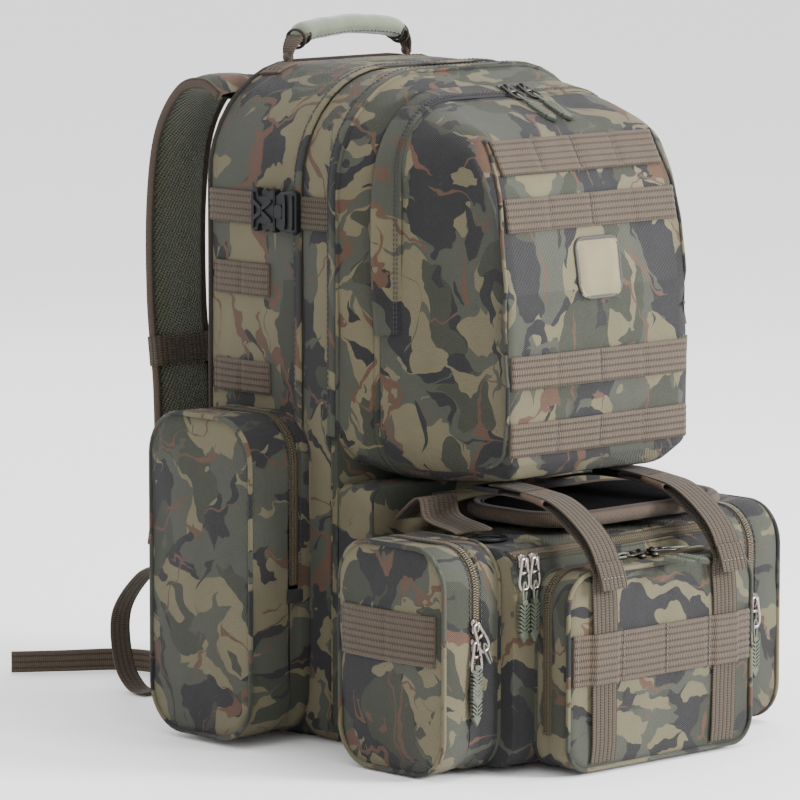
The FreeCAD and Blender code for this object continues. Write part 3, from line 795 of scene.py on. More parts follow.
tray = gusset("tray", tray_section, -15.0, -54.0, 1.2, CAMO[3], 3.0, rows=8)
settle(tray, "bag", "camo_fabric", "lower_front")
face = Build()
front_loop = tray_section(-54.5)
face.dome(front_loop, Vector((0, -54.5, 100)), Vector((0, -1.5, 0)), 6,
          lambda p: (p.x, p.z))
settle(face.done("tray_front", CAMO[4]), "bag", "camo_fabric")
lower_join = Build()
lower_join.grid([[p for p in puffed(body_section(y), Y_AXIS, h) if p.z <= 240]
                 for y, h in ((-8.5, 0.0), (-11, -0.6), (-15.2, 0.0))])
settle(tidy(lower_join.done("tray_join", CAMO[3])), "bag", "camo_fabric")
front_wall = Build()
front_wall.dome(body_section(-15.4), Vector((0, -15.4, HEIGHT / 2)), Vector((0, -1, 0)), 4,
                lambda p: (p.x, p.z))
settle(tidy(front_wall.done("front_wall", CAMO[3])), "bag", "camo_fabric")
pod = gusset("pod_band", pod_section, -15.0, -42.0, 1.0, CAMO[5], 4.0, rows=8)
settle(pod, "bag", "camo_fabric", "pod_gusset")
piping("pod_back_piping", puffed(pod_section(-15.5), Y_AXIS, 0.6), 1.5, CAMO[5], "bag")
piping("back_binding", puffed(body_section(BACK_Y - 0.2), Y_AXIS, 0.2), 2.4, BIND_DARK, "bag",
       "webbing")

# --- front pocket ---------------------------------------------------------------------------
# Depth, half width, bottom, top, lower and upper corner radius along the pocket's side.
POCKET = ((-42, 122, 204, 495, 45, 65), (-80, 112, 206, 485, 40, 42),
          (-124, 101, 209, 464, 32, 20), (-145, 96, 213, 424, 22, 12),
          (-157, 94, 224, 352, 10, 8))


def pocket_ring(t):
    """The pocket's outline, 0 at its seat on the bag and 4 at its front panel."""
    i = min(3, int(t))
    f = t - i
    sets = [POCKET[max(0, i - 1)], POCKET[i], POCKET[i + 1], POCKET[min(4, i + 2)]]
    values = []
    for a, b, c, d in zip(*sets):
        straight = b + (c - b) * f
        curved = 0.5 * (2 * b + (c - a) * f + (2 * a - 5 * b + 4 * c - d) * f * f
                        + (3 * b - a - 3 * c + d) * f ** 3)
        values.append(straight * 0.5 + curved * 0.5)
    y, half_w, low, high, foot_r, top_r = values
    return bag_ring(y, half_w, low, high, foot_r, top_r)


rim = Build()
rim.grid([puffed(pocket_ring(t), Y_AXIS, h) for t, h in
          ((0.0, 0.0), (0.03, 0.6), (0.07, 0.9), (0.11, 0.7), (0.15, -0.4))], closed=True)
rim_piece = tidy(rim.done("pocket_rim", CAMO[5]))
settle(rim_piece, "bag", "camo_fabric")

shell = Build()
shell_steps = [0.158, 0.17, 0.19] + [0.22 + 3.7 * k / 34 for k in range(35)] + [3.97, 4.0]
shell.grid([puffed(pocket_ring(t), Y_AXIS, -0.5 if t < 0.165 else 0.9 * math.sin(math.pi * t / 4))
            for t in shell_steps], closed=True)
last_ring = puffed(pocket_ring(4.0), Y_AXIS, 0.0)
shell.dome(last_ring, Vector((0, -157, 288)), Vector((0, -2.6, 0)), 12, lambda p: (p.x, p.z))
pocket = tidy(shell.done("pocket_shell", CAMO[0]))
pocket.data.materials.append(CAMO[2])
for polygon in pocket.data.polygons:
    c = polygon.center / MM
    n = polygon.normal
    polygon.material_index = 1 if abs(n.x) > 0.62 or (c.y > -70 and c.z > 440) else 0
wrinkle(pocket, 1.5, 15.0, 5.0, keep=lambda p: 0.25 if p.y > -54 else 1.0)
pocket_hit = surface(pocket)
thicken(pocket, CLOTH)
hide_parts("front_pocket_lower", "front_flap")
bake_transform(pocket)
arch_zip("pocket_zip", lambda y: pocket_ring(0.15), 0, POCKET_FOLD_Z, -0.6, "bag")


def flap_row(t, out):
    """One line of the cloth flap over the pocket's zip; its side edges gape at the bottom."""
    row = []
    for p in arch_of(puffed(pocket_ring(t), Y_AXIS, out), 314.5):
        gape = 0.0
        if p.z < 455 and abs(p.x) > 60 and t < 0.3:
            gape = 4.2 * math.sin(math.pi * (p.z - 314.5) / 141)
        row.append(p + Vector((math.copysign(gape, p.x), 0, 0)))
    return row


zip_flap = Build()
zip_flap.grid([flap_row(t, out) for t, out in
               ((0.66, 1.2), (0.64, 2.2), (0.6, 2.6), (0.5, 2.7), (0.35, 3.1), (0.2, 3.5),
                (0.11, 3.5), (0.08, 2.9), (0.1, 2.2), (0.35, 2.0))])
flap_piece = tidy(zip_flap.done("pocket_zip_flap", CAMO[2]))
wrinkle(flap_piece, 0.5, 30.0, 53.0)
settle(flap_piece, "front_flap", "camo_fabric")


def flap_out(p):
    return (Vector((p.x, 0, p.z)) - Vector((0, 0, 380))).normalized()


stitches("pocket_flap_stitches",
         [(flap_row(0.6, 2.8), flap_out), (flap_row(0.54, 2.9), flap_out)], THREAD,
         "front_flap", pitch=3.6, proud=0.3)

# Piping down each edge of the pocket's front panel, split where the flap folds.
for side, sign in SIDES.items():
    edge = []
    for k in range(60):
        z = 222 + k * 4.1
        across = 94.5 - 0.12 * max(0, z - 395)
        place, normal = pocket_hit((sign * across, -300, z), (0, 1, 0))
        if place is not None:
            edge.append(place + normal * 0.4)
    low_part = [p for p in edge if p.z < POCKET_FOLD_Z - 1]
    high_part = [p for p in edge if p.z > POCKET_FOLD_Z + 1]
    piping("panel_piping_low_" + side, low_part, 1.5, CAMO[5], "bag", closed=False)
    piping("panel_piping_high_" + side, high_part, 1.5, CAMO[5], "front_flap", closed=False)


def laid_strip(name, hit, top, bottom, direction, material, body, slot_name, nodes=(),
               thickness=1.7, ribs=5, dents=(), proud=0.1):
    """Webbing seated on a surface: top and bottom edges are cast onto it."""
    left = []
    right = []
    normals = []
    for a, b in zip(top, bottom):
        pa, na = hit(a, direction)
        pb, nb = hit(b, direction)
        if pa is None or pb is None:
            continue
        n = (na + nb).normalized()
        left.append(pa + n * proud)
        right.append(pb + n * proud)
        normals.append(n)
    build = Build()
    build.ribbon(left, right, normals, thickness=thickness, ribs=ribs, dents=dents)
    return settle(tidy(build.done(name, material)), body, slot_name, *nodes), left, right, normals


ROWS = ((463.0, "front_flap"), (422.0, "front_flap"), (306.0, "bag"), (256.0, "bag"))
for index, (top_z, body) in enumerate(ROWS):
    half = (84, 89, 92.5, 93)[index]
    xs = [-half + 2 * half * k / 62 for k in range(63)]
    columns = [half * 0.5, half, half * 1.5]
    node = {0: "front_webbing_upper", 2: "front_webbing_lower"}.get(index)
    piece, upper, lower, normals = laid_strip(
        "row_%d" % (index + 1), pocket_hit, [Vector((x, -300, top_z)) for x in xs],
        [Vector((x, -300, top_z - STRAP_W)) for x in xs], (0, 1, 0), WEB, body, "webbing",
        (node,) if node else (), thickness=2.2, dents=columns, proud=0.35)
    lines = []
    for column in columns:
        k = min(len(upper) - 1, max(0, round(column / half * 31)))
        lines.append(([upper[k].lerp(lower[k], t) for t in (0.04, 0.35, 0.65, 0.96)],
                      normals[k]))
    stitches("row_%d_stitches" % (index + 1), lines, THREAD, body, pitch=2.6, proud=1.5)

# --- badge -----------------------------------------------------------------------------------
badge = Build()
badge_rows = []
for size, lift in ((1.0, 0.0), (1.0, 1.2), (0.95, 1.6), (0.92, 1.5), (0.9, 1.0), (0.87, 1.0),
                   (0.84, 1.7), (0.5, 1.8), (0.1, 1.8)):
    flat = ring(2 - 24 * size, 2 + 24 * size, 366.5 - 23.5 * size, 366.5 + 23.5 * size,
                13 * size, 9 * size)
    row = []
    for p in flat:
        place, normal = pocket_hit((p.x, -300, p.y), (0, 1, 0))
        row.append(place + normal * lift)
    badge_rows.append(row)
badge.grid(badge_rows, closed=True)
badge.faces.append(tuple(range(len(badge.verts) - len(badge_rows[0]), len(badge.verts))))
badge.uvs.append([(0, 0)] * len(badge_rows[0]))
badge_piece = settle(tidy(badge.done("badge", PATCH_DARK)), "front_flap", "badge_patch",
                     "front_badge")
badge_piece.data.materials.append(PATCH)
for polygon in badge_piece.data.polygons:
    c = polygon.center / MM
    if abs(c.x - 2) < 21 and abs(c.z - 366.5) < 20.5:
        polygon.material_index = 1


# --- pouches with opening covers ------------------------------------------------------------
def pouch(name, sign, x_wall, x_face, y, z, radius, hinge_z, split_x, cover_body, nodes,
          materials, seed):
    """A box pouch on the left, or its mirror: gusset, zip, crowned cover and piping."""
    def section(x, grow=0.0):
        flat = ring(y[0] - grow, y[1] + grow, z[0] - grow, z[1] + grow, radius, radius)
        return [Vector((sign * x, p.x, max(0.35, p.y))) for p in flat]

    inner = Build()
    inner.grid([section(x, g) for x, g in ((x_wall, 0.0), (x_wall + 3, 1.2),
                                           ((x_wall + split_x) / 2, 1.5), (split_x - 5, 1.0),
                                           (split_x - 4, 0.2))], closed=True)
    wall_part = tidy(inner.done(name + "_gusset", materials[1]))
    wrinkle(wall_part, 0.8, 20.0, seed, keep=lambda p: 0.1 if p.z < 14 else 1.0)
    settle(wall_part, "bag", "camo_fabric", nodes[0])

    cover = Build()
    steps = [0.0, 0.04, 0.1] + [0.1 + 0.8 * k / 7 for k in range(1, 8)] + [0.96, 1.0]
    start = split_x + 4
    cover.grid([section(start + (x_face - start) * t, 0.2 + 1.3 * math.sin(math.pi * t) ** 0.6
                        if 0 < t < 1 else 0.0) for t in steps], closed=True)
    middle = Vector((sign * x_face, (y[0] + y[1]) / 2, (z[0] + z[1]) / 2))
    cover.dome(section(x_face), middle, Vector((sign * 5.5, 0, 0)), 14, lambda p: (p.y, p.z))
    lid = tidy(cover.done(name + "_cover", materials[0]))
    lid.data.materials.append(materials[1])
    for polygon in lid.data.polygons:
        polygon.material_index = 0 if abs(polygon.normal.x) > 0.75 else 1
    wrinkle(lid, 1.9, 14.0, seed + 3, keep=lambda p: 0.1 if p.z < 12 else 1.0)
    hit = surface(lid)
    thicken(lid, CLOTH)
    settle_blend(lid, cover_body, nodes[1])

    for label, x, grow, r in (("outer", x_face, 0.6, 1.9), ("inner", x_wall + 1.5, 0.6, 1.8)):
        loop = section(x, grow)
        if label == "inner":
            piping(name + "_piping_inner", loop, r, materials[2], "bag")
        else:
            build = Build()
            build.tube(loop, r, closed=True, sides=10)
            pipe = build.done(name + "_piping_outer", materials[2])
            settle_blend(pipe, cover_body, None)
    loop = section(split_x, 0.2)
    normals = outward(loop, X_AXIS)
    pairs = [(p, n) for p, n in zip(loop, normals) if p.z >= hinge_z]
    zip_line(name + "_zip", [p for p, _ in pairs], [n for _, n in pairs], "bag", tape=9.0)
    join = Build()
    join.grid([[p for p in section(split_x + d, h) if p.z <= hinge_z + 1]
               for d, h in ((-5, 0.6), (-2, 0.2), (0, 0.1), (2, 0.2), (5, 0.6))])
    settle(tidy(join.done(name + "_zip_end", materials[1])), "bag", "camo_fabric")
    for label, d, body in (("wall", -5.6, "bag"), ("lid", 5.6, cover_body)):
        line = [p for p in section(split_x + d, 1.1) if p.z >= hinge_z]
        stitches(name + "_%s_stitches" % label,
                 [(line, lambda p: Vector((0, p.y - middle.y, p.z - middle.z)).normalized())],
                 THREAD, body, pitch=4.0, proud=0.35)
    # A folded tab of cloth is stitched over each end of the zip.
    for label, y_edge, direction in (("front", y[0], -1), ("rear", y[1], 1)):
        tab = Build()
        rows = []
        for k in range(9):
            x = split_x - 8 + 16 * k / 8
            lift = 1.2 + 0.9 * math.sin(math.pi * k / 8)
            rows.append([Vector((sign * x, y_edge + direction * h * (0.4 + lift), zz))
                         for zz, h in ((hinge_z - 9, 0.2), (hinge_z - 8, 1.0), (hinge_z, 1.0),
                                       (hinge_z + 1.4, 0.9), (hinge_z + 1.8, 0.3))])
        tab.grid(rows)
        settle(tidy(tab.done(name + "_tab_" + label, materials[2])), "bag", "camo_fabric")
    return hit


def settle_blend(piece, cover_body, node):
    if node:
        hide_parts(node)
    x = 0.1975 if cover_body.startswith("side") else 0.1795
    x = -x if cover_body.endswith("left") else x
    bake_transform(piece)


for side, sign in SIDES.items():
    shift = 0 if sign < 0 else 2
    pouch("side_bag_" + side, sign, 134.0, 196.5, (15, 127), (7, 250), 34, 118, 152,
          "side_cover_" + side, ("side_pouch_" + side, "side_cover_" + side),
          (CAMO[3 - shift], CAMO[4], CAMO[5]), 11.0 + sign)
    end_hit = pouch("end_bag_" + side, sign, 121.0, 178.5, (-176, -66), (4, 171), 30, 66, 147,
                    "end_cover_" + side, ("end_pouch_" + side, "end_cover_" + side),
                    (CAMO[1 + shift], CAMO[2], CAMO[0]), 17.0 + sign)
    ys = [-170 + 98 * k / 34 for k in range(35)]
    laid_strip("end_band_" + side, end_hit, [Vector((sign * 300, y, 124)) for y in ys],
               [Vector((sign * 300, y, 86)) for y in ys], (-sign, 0, 0), WEB, "end_cover_" + side,
               "webbing", thickness=2.0, ribs=7, dents=(3, 49, 95), proud=0.2)

# --- waist pack ------------------------------------------------------------------------------
def waist_section(x, grow=0.0):
    flat = ring(-190 - grow, -58 + grow, 4 - grow, 168 + grow, 24, 24)
    return [Vector((x, p.x, max(0.35, p.y))) for p in flat]


waist = Build()
waist.grid([waist_section(-121 + 242 * k / 30, 1.2 * math.sin(math.pi * k / 30) ** 0.4)
            for k in range(31)], closed=True)
for end in (-121, 121):
    waist.dome(waist_section(end), Vector((end, -124, 86)), Vector((0.6 * (end / 121), 0, 0)), 4,
               lambda p: (p.y, p.z))
waist_piece = tidy(waist.done("waist_shell", CAMO[2]))
wrinkle(waist_piece, 1.5, 15.0, 23.0, keep=lambda p: 0.1 if p.z < 10 else 1.0)
waist_hit = surface(waist_piece)
settle(waist_piece, "bag", "camo_fabric", "waist_body")
zip_xs = [-116 + 232 * k / 60 for k in range(61)]
zip_pairs = []
slope = Vector((0, -0.55, 0.83)).normalized()
for x in zip_xs:
    place, normal = waist_hit(Vector((x, -182, 164)) + slope * 60, -slope)
    zip_pairs.append((place + normal * 0.2, normal))
zip_line("waist_zip", [p for p, _ in zip_pairs], [n for _, n in zip_pairs], "bag", tape=10.0)
for label, shift in (("upper", 5.6), ("lower", -5.6)):
    across = Vector((0, 0.83, 0.55))
    line = []
    for x in zip_xs:
        place, normal = waist_hit(Vector((x, -182, 164)) + across * shift + slope * 60, -slope)
        line.append(place)
    piping("waist_zip_fold_" + label, line, 1.2, CAMO[2], "bag", closed=False)


def centre_section(y, grow=0.0):
    return [Vector((p.x, p.y, max(0.35, p.z)))
            for p in bag_ring(y, 97 + grow, 5 - grow, 150 + grow, 20, 24)]


centre = Build()
centre.grid([centre_section(y, g) for y, g in ((-189, 0), (-190, 0.8), (-197, 1.6), (-200, 0.6),
                                               (-206, 0.6), (-209, 1.6), (-218, 1.2), (-224, 0))],
            closed=True)
centre.dome(centre_section(-224), Vector((0, -224, 76)), Vector((0, -4.5, 0)), 14,
            lambda p: (p.x, p.z))
centre_piece = tidy(centre.done("centre_shell", CAMO[4]))
centre_piece.data.materials.append(CAMO[1])
for polygon in centre_piece.data.polygons:
    polygon.material_index = 0 if abs(polygon.normal.y) > 0.7 else 1
wrinkle(centre_piece, 1.4, 16.0, 29.0, keep=lambda p: 0.1 if p.z < 12 else 1.0)
centre_hit = surface(centre_piece)
settle(centre_piece, "bag", "camo_fabric", "centre_pouch")
for label, y, r in (("front", -224.2, 1.8), ("back", -190.5, 1.7)):
    piping("centre_piping_" + label, centre_section(y, 0.6), r, CAMO[5], "bag")
loop = centre_section(-203, 1.2)
pairs = [(p, n) for p, n in zip(loop, outward(loop, Y_AXIS)) if p.z >= 30]
zip_line("centre_zip", [p for p, _ in pairs], [n for _, n in pairs], "bag", tape=9.0)


def flat_strap(name, line, x0, x1, material, body, slot_name, nodes=(), thickness=1.7, ribs=5,
               count=70, dents=(), flip=1):
    """A strap flat across X that follows a line of (y, z) points."""
    path = smooth_line([(0, y, z) for y, z in line], count)
    left = []
    right = []
    normals = []
    for i, p in enumerate(path):
        a = path[max(0, i - 1)]
        b = path[min(count - 1, i + 1)]
        t = (b - a).normalized()
        n = Vector((0, -t.z, t.y)) * flip
        left.append(Vector((x0, p.y, p.z)) - n * thickness / 2)
        right.append(Vector((x1, p.y, p.z)) - n * thickness / 2)
        normals.append(n)
    build = Build()
    build.ribbon(left, right, normals, thickness=thickness, ribs=ribs, dents=dents)
    return settle(tidy(build.done(name, material)), body, slot_name, *nodes)


# Each strap lies on the pouch's face, then goes over the top of the waist pack.
LASH_TOP = ((-227.5, 152), (-216, 169), (-200, 181), (-178, 194), (-150, 199.2), (-100, 199.6),
            (-56.5, 192))
TAIL = ((-118, 205.4), (-134, 205.2), (-160, 202.8), (-184, 198.6), (-208, 185.5), (-226, 168),
        (-237, 141))
lashes = []
for side, sign in SIDES.items():
    x = sign * LASH_X
    low_run = []
    for z in range(9, 142, 11):
        place, normal = centre_hit((x, -400, z), (0, 1, 0))
        low_run.append((place.y - 1.3, z))
    lashes.append(flat_strap("lash_strap_" + side, tuple(low_run) + LASH_TOP, x - 12.5, x + 12.5,
                             WEB_DARK, "bag", "webbing", flip=-1, count=110, ribs=6))
    flat_strap("lash_tail_" + side, TAIL, x - 12.5, x + 12.5, WEB_DARK, "bag", "webbing",
               flip=1, ribs=6)
    flat_strap("lash_fold_" + side, ((-232.0, 159), (-236.2, 149), (-239, 139.5)), x - 12.9,
               x + 12.9, WEB_DARK, "bag", "webbing", flip=1, count=12, ribs=6)
    stitches("lash_fold_stitches_" + side,
             [([Vector((x - 11 + 2.2 * k, -237.2, 148)) for k in range(11)],
               Vector((0, -0.93, 0.37)))], THREAD_LIGHT, "bag", pitch=3.4, proud=0.7)
    sleeve = Build()
    hoops = []
    for k in range(9):
        y = -178 + 24 * k / 8
        z = 197.6 + 3.9 * (k / 8)
        hoops.append([Vector((x + 15.2 * math.copysign(abs(math.cos(a)) ** 0.5, math.cos(a)),
                              y, z + 3.3 * math.copysign(abs(math.sin(a)) ** 0.7, math.sin(a))))
                      for a in [2 * math.pi * j / 28 for j in range(28)]])
    sleeve.grid(hoops, closed=True)
    keeper = settle(tidy(sleeve.done("lash_keeper_" + side, KEEPER)), "bag", "webbing")
    wrinkle(keeper, 0.5, 60.0, 47.0)
    thicken(keeper, 0.9)

band_hit = surface(centre_piece, *lashes)
xs = [-94 + 188 * k / 94 for k in range(95)]
band, band_top, band_low, band_normals = laid_strip(
    "centre_band", band_hit, [Vector((x, -400, 106)) for x in xs],
    [Vector((x, -400, 68)) for x in xs], (0, 1, 0), WEB, "bag", "webbing", ("lash_webbing",),
    thickness=2.0, ribs=8, dents=(47, 94, 141), proud=0.3)
lines = []
for x in (-91, -47, 0, 47, 91):
    k = min(range(len(band_top)), key=lambda i: abs(band_top[i].x - x))
    lines.append(([band_top[k].lerp(band_low[k], t / 10) for t in range(11)], band_normals[k]))
stitches("centre_band_stitches", lines, THREAD_LIGHT, "bag", pitch=2.8, proud=1.9)


def cad_finish(name, material, bevel=0.0, passes=1):
    """Keeps a hard CAD piece, with its material and its edges softened once for each pass."""
    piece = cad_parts[name]
    piece.data.materials.clear()
    piece.data.materials.append(material)
    for _ in range(passes if bevel else 0):
        modifier = piece.modifiers.new("soft_edges", "BEVEL")
        modifier.width = bevel * MM
        modifier.segments = 2
        modifier.limit_method = "ANGLE"


for name in ("lash_buckles", "belt_ring", "d_ring_left", "d_ring_right"):
    cad_finish(name, BLACK, 0.5)
cad_finish("ladder_locks", BLACK, 0.5, passes=3)
cad_finish("frame_sheet", BLACK)
cad_finish("dividers", LINING)

# --- belt pad, belt webbing -------------------------------------------------------------------
def pad_section(z, grow=0.0):
    flat = ring(-58 - grow, 132 + grow, -172 - grow, -62 + grow, 40, 40)
    return [Vector((p.x, p.y, z)) for p in flat]


pad = Build()
pad.grid([pad_section(z, g) for z, g in ((175.2, -7), (174.6, -3), (176.2, 0), (180.5, 1.0),
                                         (184.6, 0), (186.4, -6))], closed=True)
pad.dome(pad_section(186.4, -6), Vector((37, -117, 186.4)), Vector((0, 0, 1.6)), 12,
         lambda p: (p.x, p.y))
pad_piece = tidy(pad.done("belt_pad_felt", FELT))
wrinkle(pad_piece, 1.0, 20.0, 31.0)
settle(pad_piece, "bag", "belt_padding", "belt_pad")
edge = Build()
edge.tube(pad_section(181.0, 0.4), 6.4, closed=True, sides=16, flat=0.95, normal=Z_AXIS)
settle(edge.done("belt_pad_binding", BINDING), "bag", "webbing")
fold = Build()
fold.tube(pad_section(185.4, -3.4), 1.0, closed=True, sides=8)
settle(fold.done("belt_pad_seam", BIND_DARK), "bag", "webbing")
flat_strap("belt_strap", ((-60, 178), (-84, 196), (-92, 181), (-118, 175.5), (-126, 173.6)),
           -118, -80, WEB, "bag", "webbing", ("belt_webbing",), ribs=7)

# --- shoulder harness -------------------------------------------------------------------------
STRAP = ((131.2, 485), (150, 494), (178, 487), (203, 452), (213, 395), (213, 320), (206, 250),
         (206, 180), (214, 128))
LOCK = (218, 112)


def strap_frame(count):
    """Points along the shoulder strap with the direction that faces away from the wearer."""
    path = smooth_line([(0, y, z) for y, z in STRAP], count)
    out = []
    for i, p in enumerate(path):
        t = (path[min(count - 1, i + 1)] - path[max(0, i - 1)]).normalized()
        n = Vector((0, -t.z, t.y))
        out.append((p, n if n.y + n.z > 0 or p.z < 300 and n.y > 0 else -n))
    return out


for side, sign in SIDES.items():
    frames = strap_frame(110)
    centre_x = sign * SHOULDER_X
    for label, direction, material, crown in (("mesh", -1, MESH, 6.6), ("face", 1, CAMO[3], 6.2)):
        half = Build()
        rows = []
        for i, (p, n) in enumerate(frames):
            end = min(1.0, i / 2.5, (len(frames) - 1 - i) / 2.5)
            row = []
            for k in range(21):
                s = -1 + 2 * k / 20
                rise = crown * (1 - abs(s) ** 3.5) * (0.55 + 0.45 * end) + 0.3
                row.append(Vector((centre_x + 26.6 * s, p.y, p.z)) + n * direction * rise)
            rows.append(row)
        half.grid(rows)
        piece = tidy(half.done("strap_%s_%s" % (label, side), material))
        wrinkle(piece, 0.6, 24.0, 37.0 + direction)
        nodes = ("shoulder_strap_" + side,) if label == "mesh" else ()
        settle(piece, "bag", "spacer_mesh" if label == "mesh" else "camo_fabric", *nodes)
    for label, s in (("outer", sign * 27), ("inner", -sign * 27)):
        bound = Build()
        path = [Vector((centre_x + s, p.y, p.z)) for p, _ in frames]
        bound.tube(path, 4.2, sides=12, flat=0.45, normal=Vector((1, 0, 0)))
        settle(bound.done("strap_binding_%s_%s" % (label, side), BINDING), "bag", "webbing")
    band = Build()
    band_rows = []
    for i, (p, n) in enumerate(frames):
        if 268 < p.z < 296 and p.y > 200:
            loop = []
            for k in range(36):
                a = 2 * math.pi * k / 36
                c = math.copysign(abs(math.cos(a)) ** 0.35, math.cos(a))
                d = math.copysign(abs(math.sin(a)) ** 0.6, math.sin(a))
                loop.append(Vector((centre_x + 29.5 * c, p.y, p.z)) + n * 8.2 * d)
            band_rows.append(loop)
    band.grid(band_rows, closed=True)
    settle(tidy(band.done("strap_band_" + side, WEB_DARK)), "bag", "webbing")
    thicken(bpy.data.objects["strap_band_" + side], 1.0)
    # The flat webbing sewn down the face of the strap carries the ring.
    spine = [(p + n * 6.9, n) for p, n in frames if p.z > 136 and (p.z < 470 or p.y > 190)]
    build = Build()
    build.ribbon([Vector((centre_x - 12.5, p.y, p.z)) for p, _ in spine],
                 [Vector((centre_x + 12.5, p.y, p.z)) for p, _ in spine], [n for _, n in spine],
                 dents=(20, 60, 100, 140, 180, 220, 260))
    settle(tidy(build.done("strap_spine_" + side, WEB)), "bag", "webbing")
    y, z = LOCK
    flat_strap("adjuster_" + side,
               ((y - 6.2, z - 2), (y - 22, z - 34), (y - 52, z - 68), (129, 22)),
               centre_x - 10, centre_x + 10, WEB, "bag", "webbing",
               ("adjuster_webbing_" + side,), ribs=4)
    flat_strap("tail_drop_" + side, ((y + 4.3, z - 4), (y + 34, z - 14), (y + 64, z - 48),
                                     (y + 62, z - 88), (y + 46, 4.2), (y + 26, 2.6)),
               centre_x - 10, centre_x + 10, WEB, "bag", "webbing",
               ("adjuster_tail_" + side,), ribs=4)

ground = smooth_line([(-93, 246, 0), (-62, 262, 0), (-30, 300, 0), (-36, 344, 0), (-75, 374, 0),
                      (-112, 400, 0)], 80)
low_edge = []
high_edge = []
normals = []
for i, p in enumerate(ground):
    t = (ground[min(79, i + 1)] - ground[max(0, i - 1)]).normalized()
    n = Vector((-t.y, t.x, 0))
    lean = n * 1.6 * math.sin(i * 0.11)
    low_edge.append(Vector((p.x, p.y, 0.7)))
    high_edge.append(Vector((p.x, p.y, 18.4)) + lean)
    normals.append(n)
build = Build()
build.ribbon(low_edge, high_edge, normals, ribs=4, dents=(205,))
settle(tidy(build.done("tail_run_left", WEB)), "bag", "webbing")
for side, sign in SIDES.items():
    flat_strap("ring_loop_" + side,
               ((222.6, 414), (223.0, 404), (223.6, 394), (226.4, 386), (227.6, 380.5),
                (225.4, 376.4), (221.8, 377)), sign * SHOULDER_X - 9, sign * SHOULDER_X + 9,
               WEB_DARK, "bag",
               "webbing", ("d_ring_keepers",) if sign < 0 else (), ribs=4, count=40)
    stitches("ring_loop_stitches_" + side,
             [([Vector((sign * SHOULDER_X + dx, 224.6, z)) for z in range(396, 413, 2)],
               Vector((0, 1, 0))) for dx in (-6, 6)], THREAD_LIGHT, "bag", pitch=3.0, proud=0.5)

# --- compression straps and buckles -----------------------------------------------------------
def prism(build, outline, x0, x1, bevel, sign):
    """A moulded slab: an outline in (y, z), between two depths, with chamfered rims."""
    centre = sum((Vector((0, y, z)) for y, z in outline), Vector()) / len(outline)
    rows = []
    for x, inset in ((x0, bevel), (x0 + bevel, 0), (x1 - bevel, 0), (x1, bevel)):
        row = []
        for y, z in outline:
            p = Vector((0, y, z))
            row.append(Vector((sign * x, 0, 0)) + p - (p - centre).normalized() * inset)
        rows.append(row)
    start = len(build.verts)
    build.grid(rows, closed=True)
    size = len(outline)
    for low in (start, start + 3 * size):
        build.faces.append(tuple(range(low, low + size)))
        build.uvs.append([(0, 0)] * size)



def buckle_line(points):
    """Mirrors half an outline above and below the buckle's middle."""
    upper = [(y, BUCKLE_Z + z) for y, z in points]
    lower = [(y, BUCKLE_Z - z) for y, z in reversed(points)]
    return upper + lower


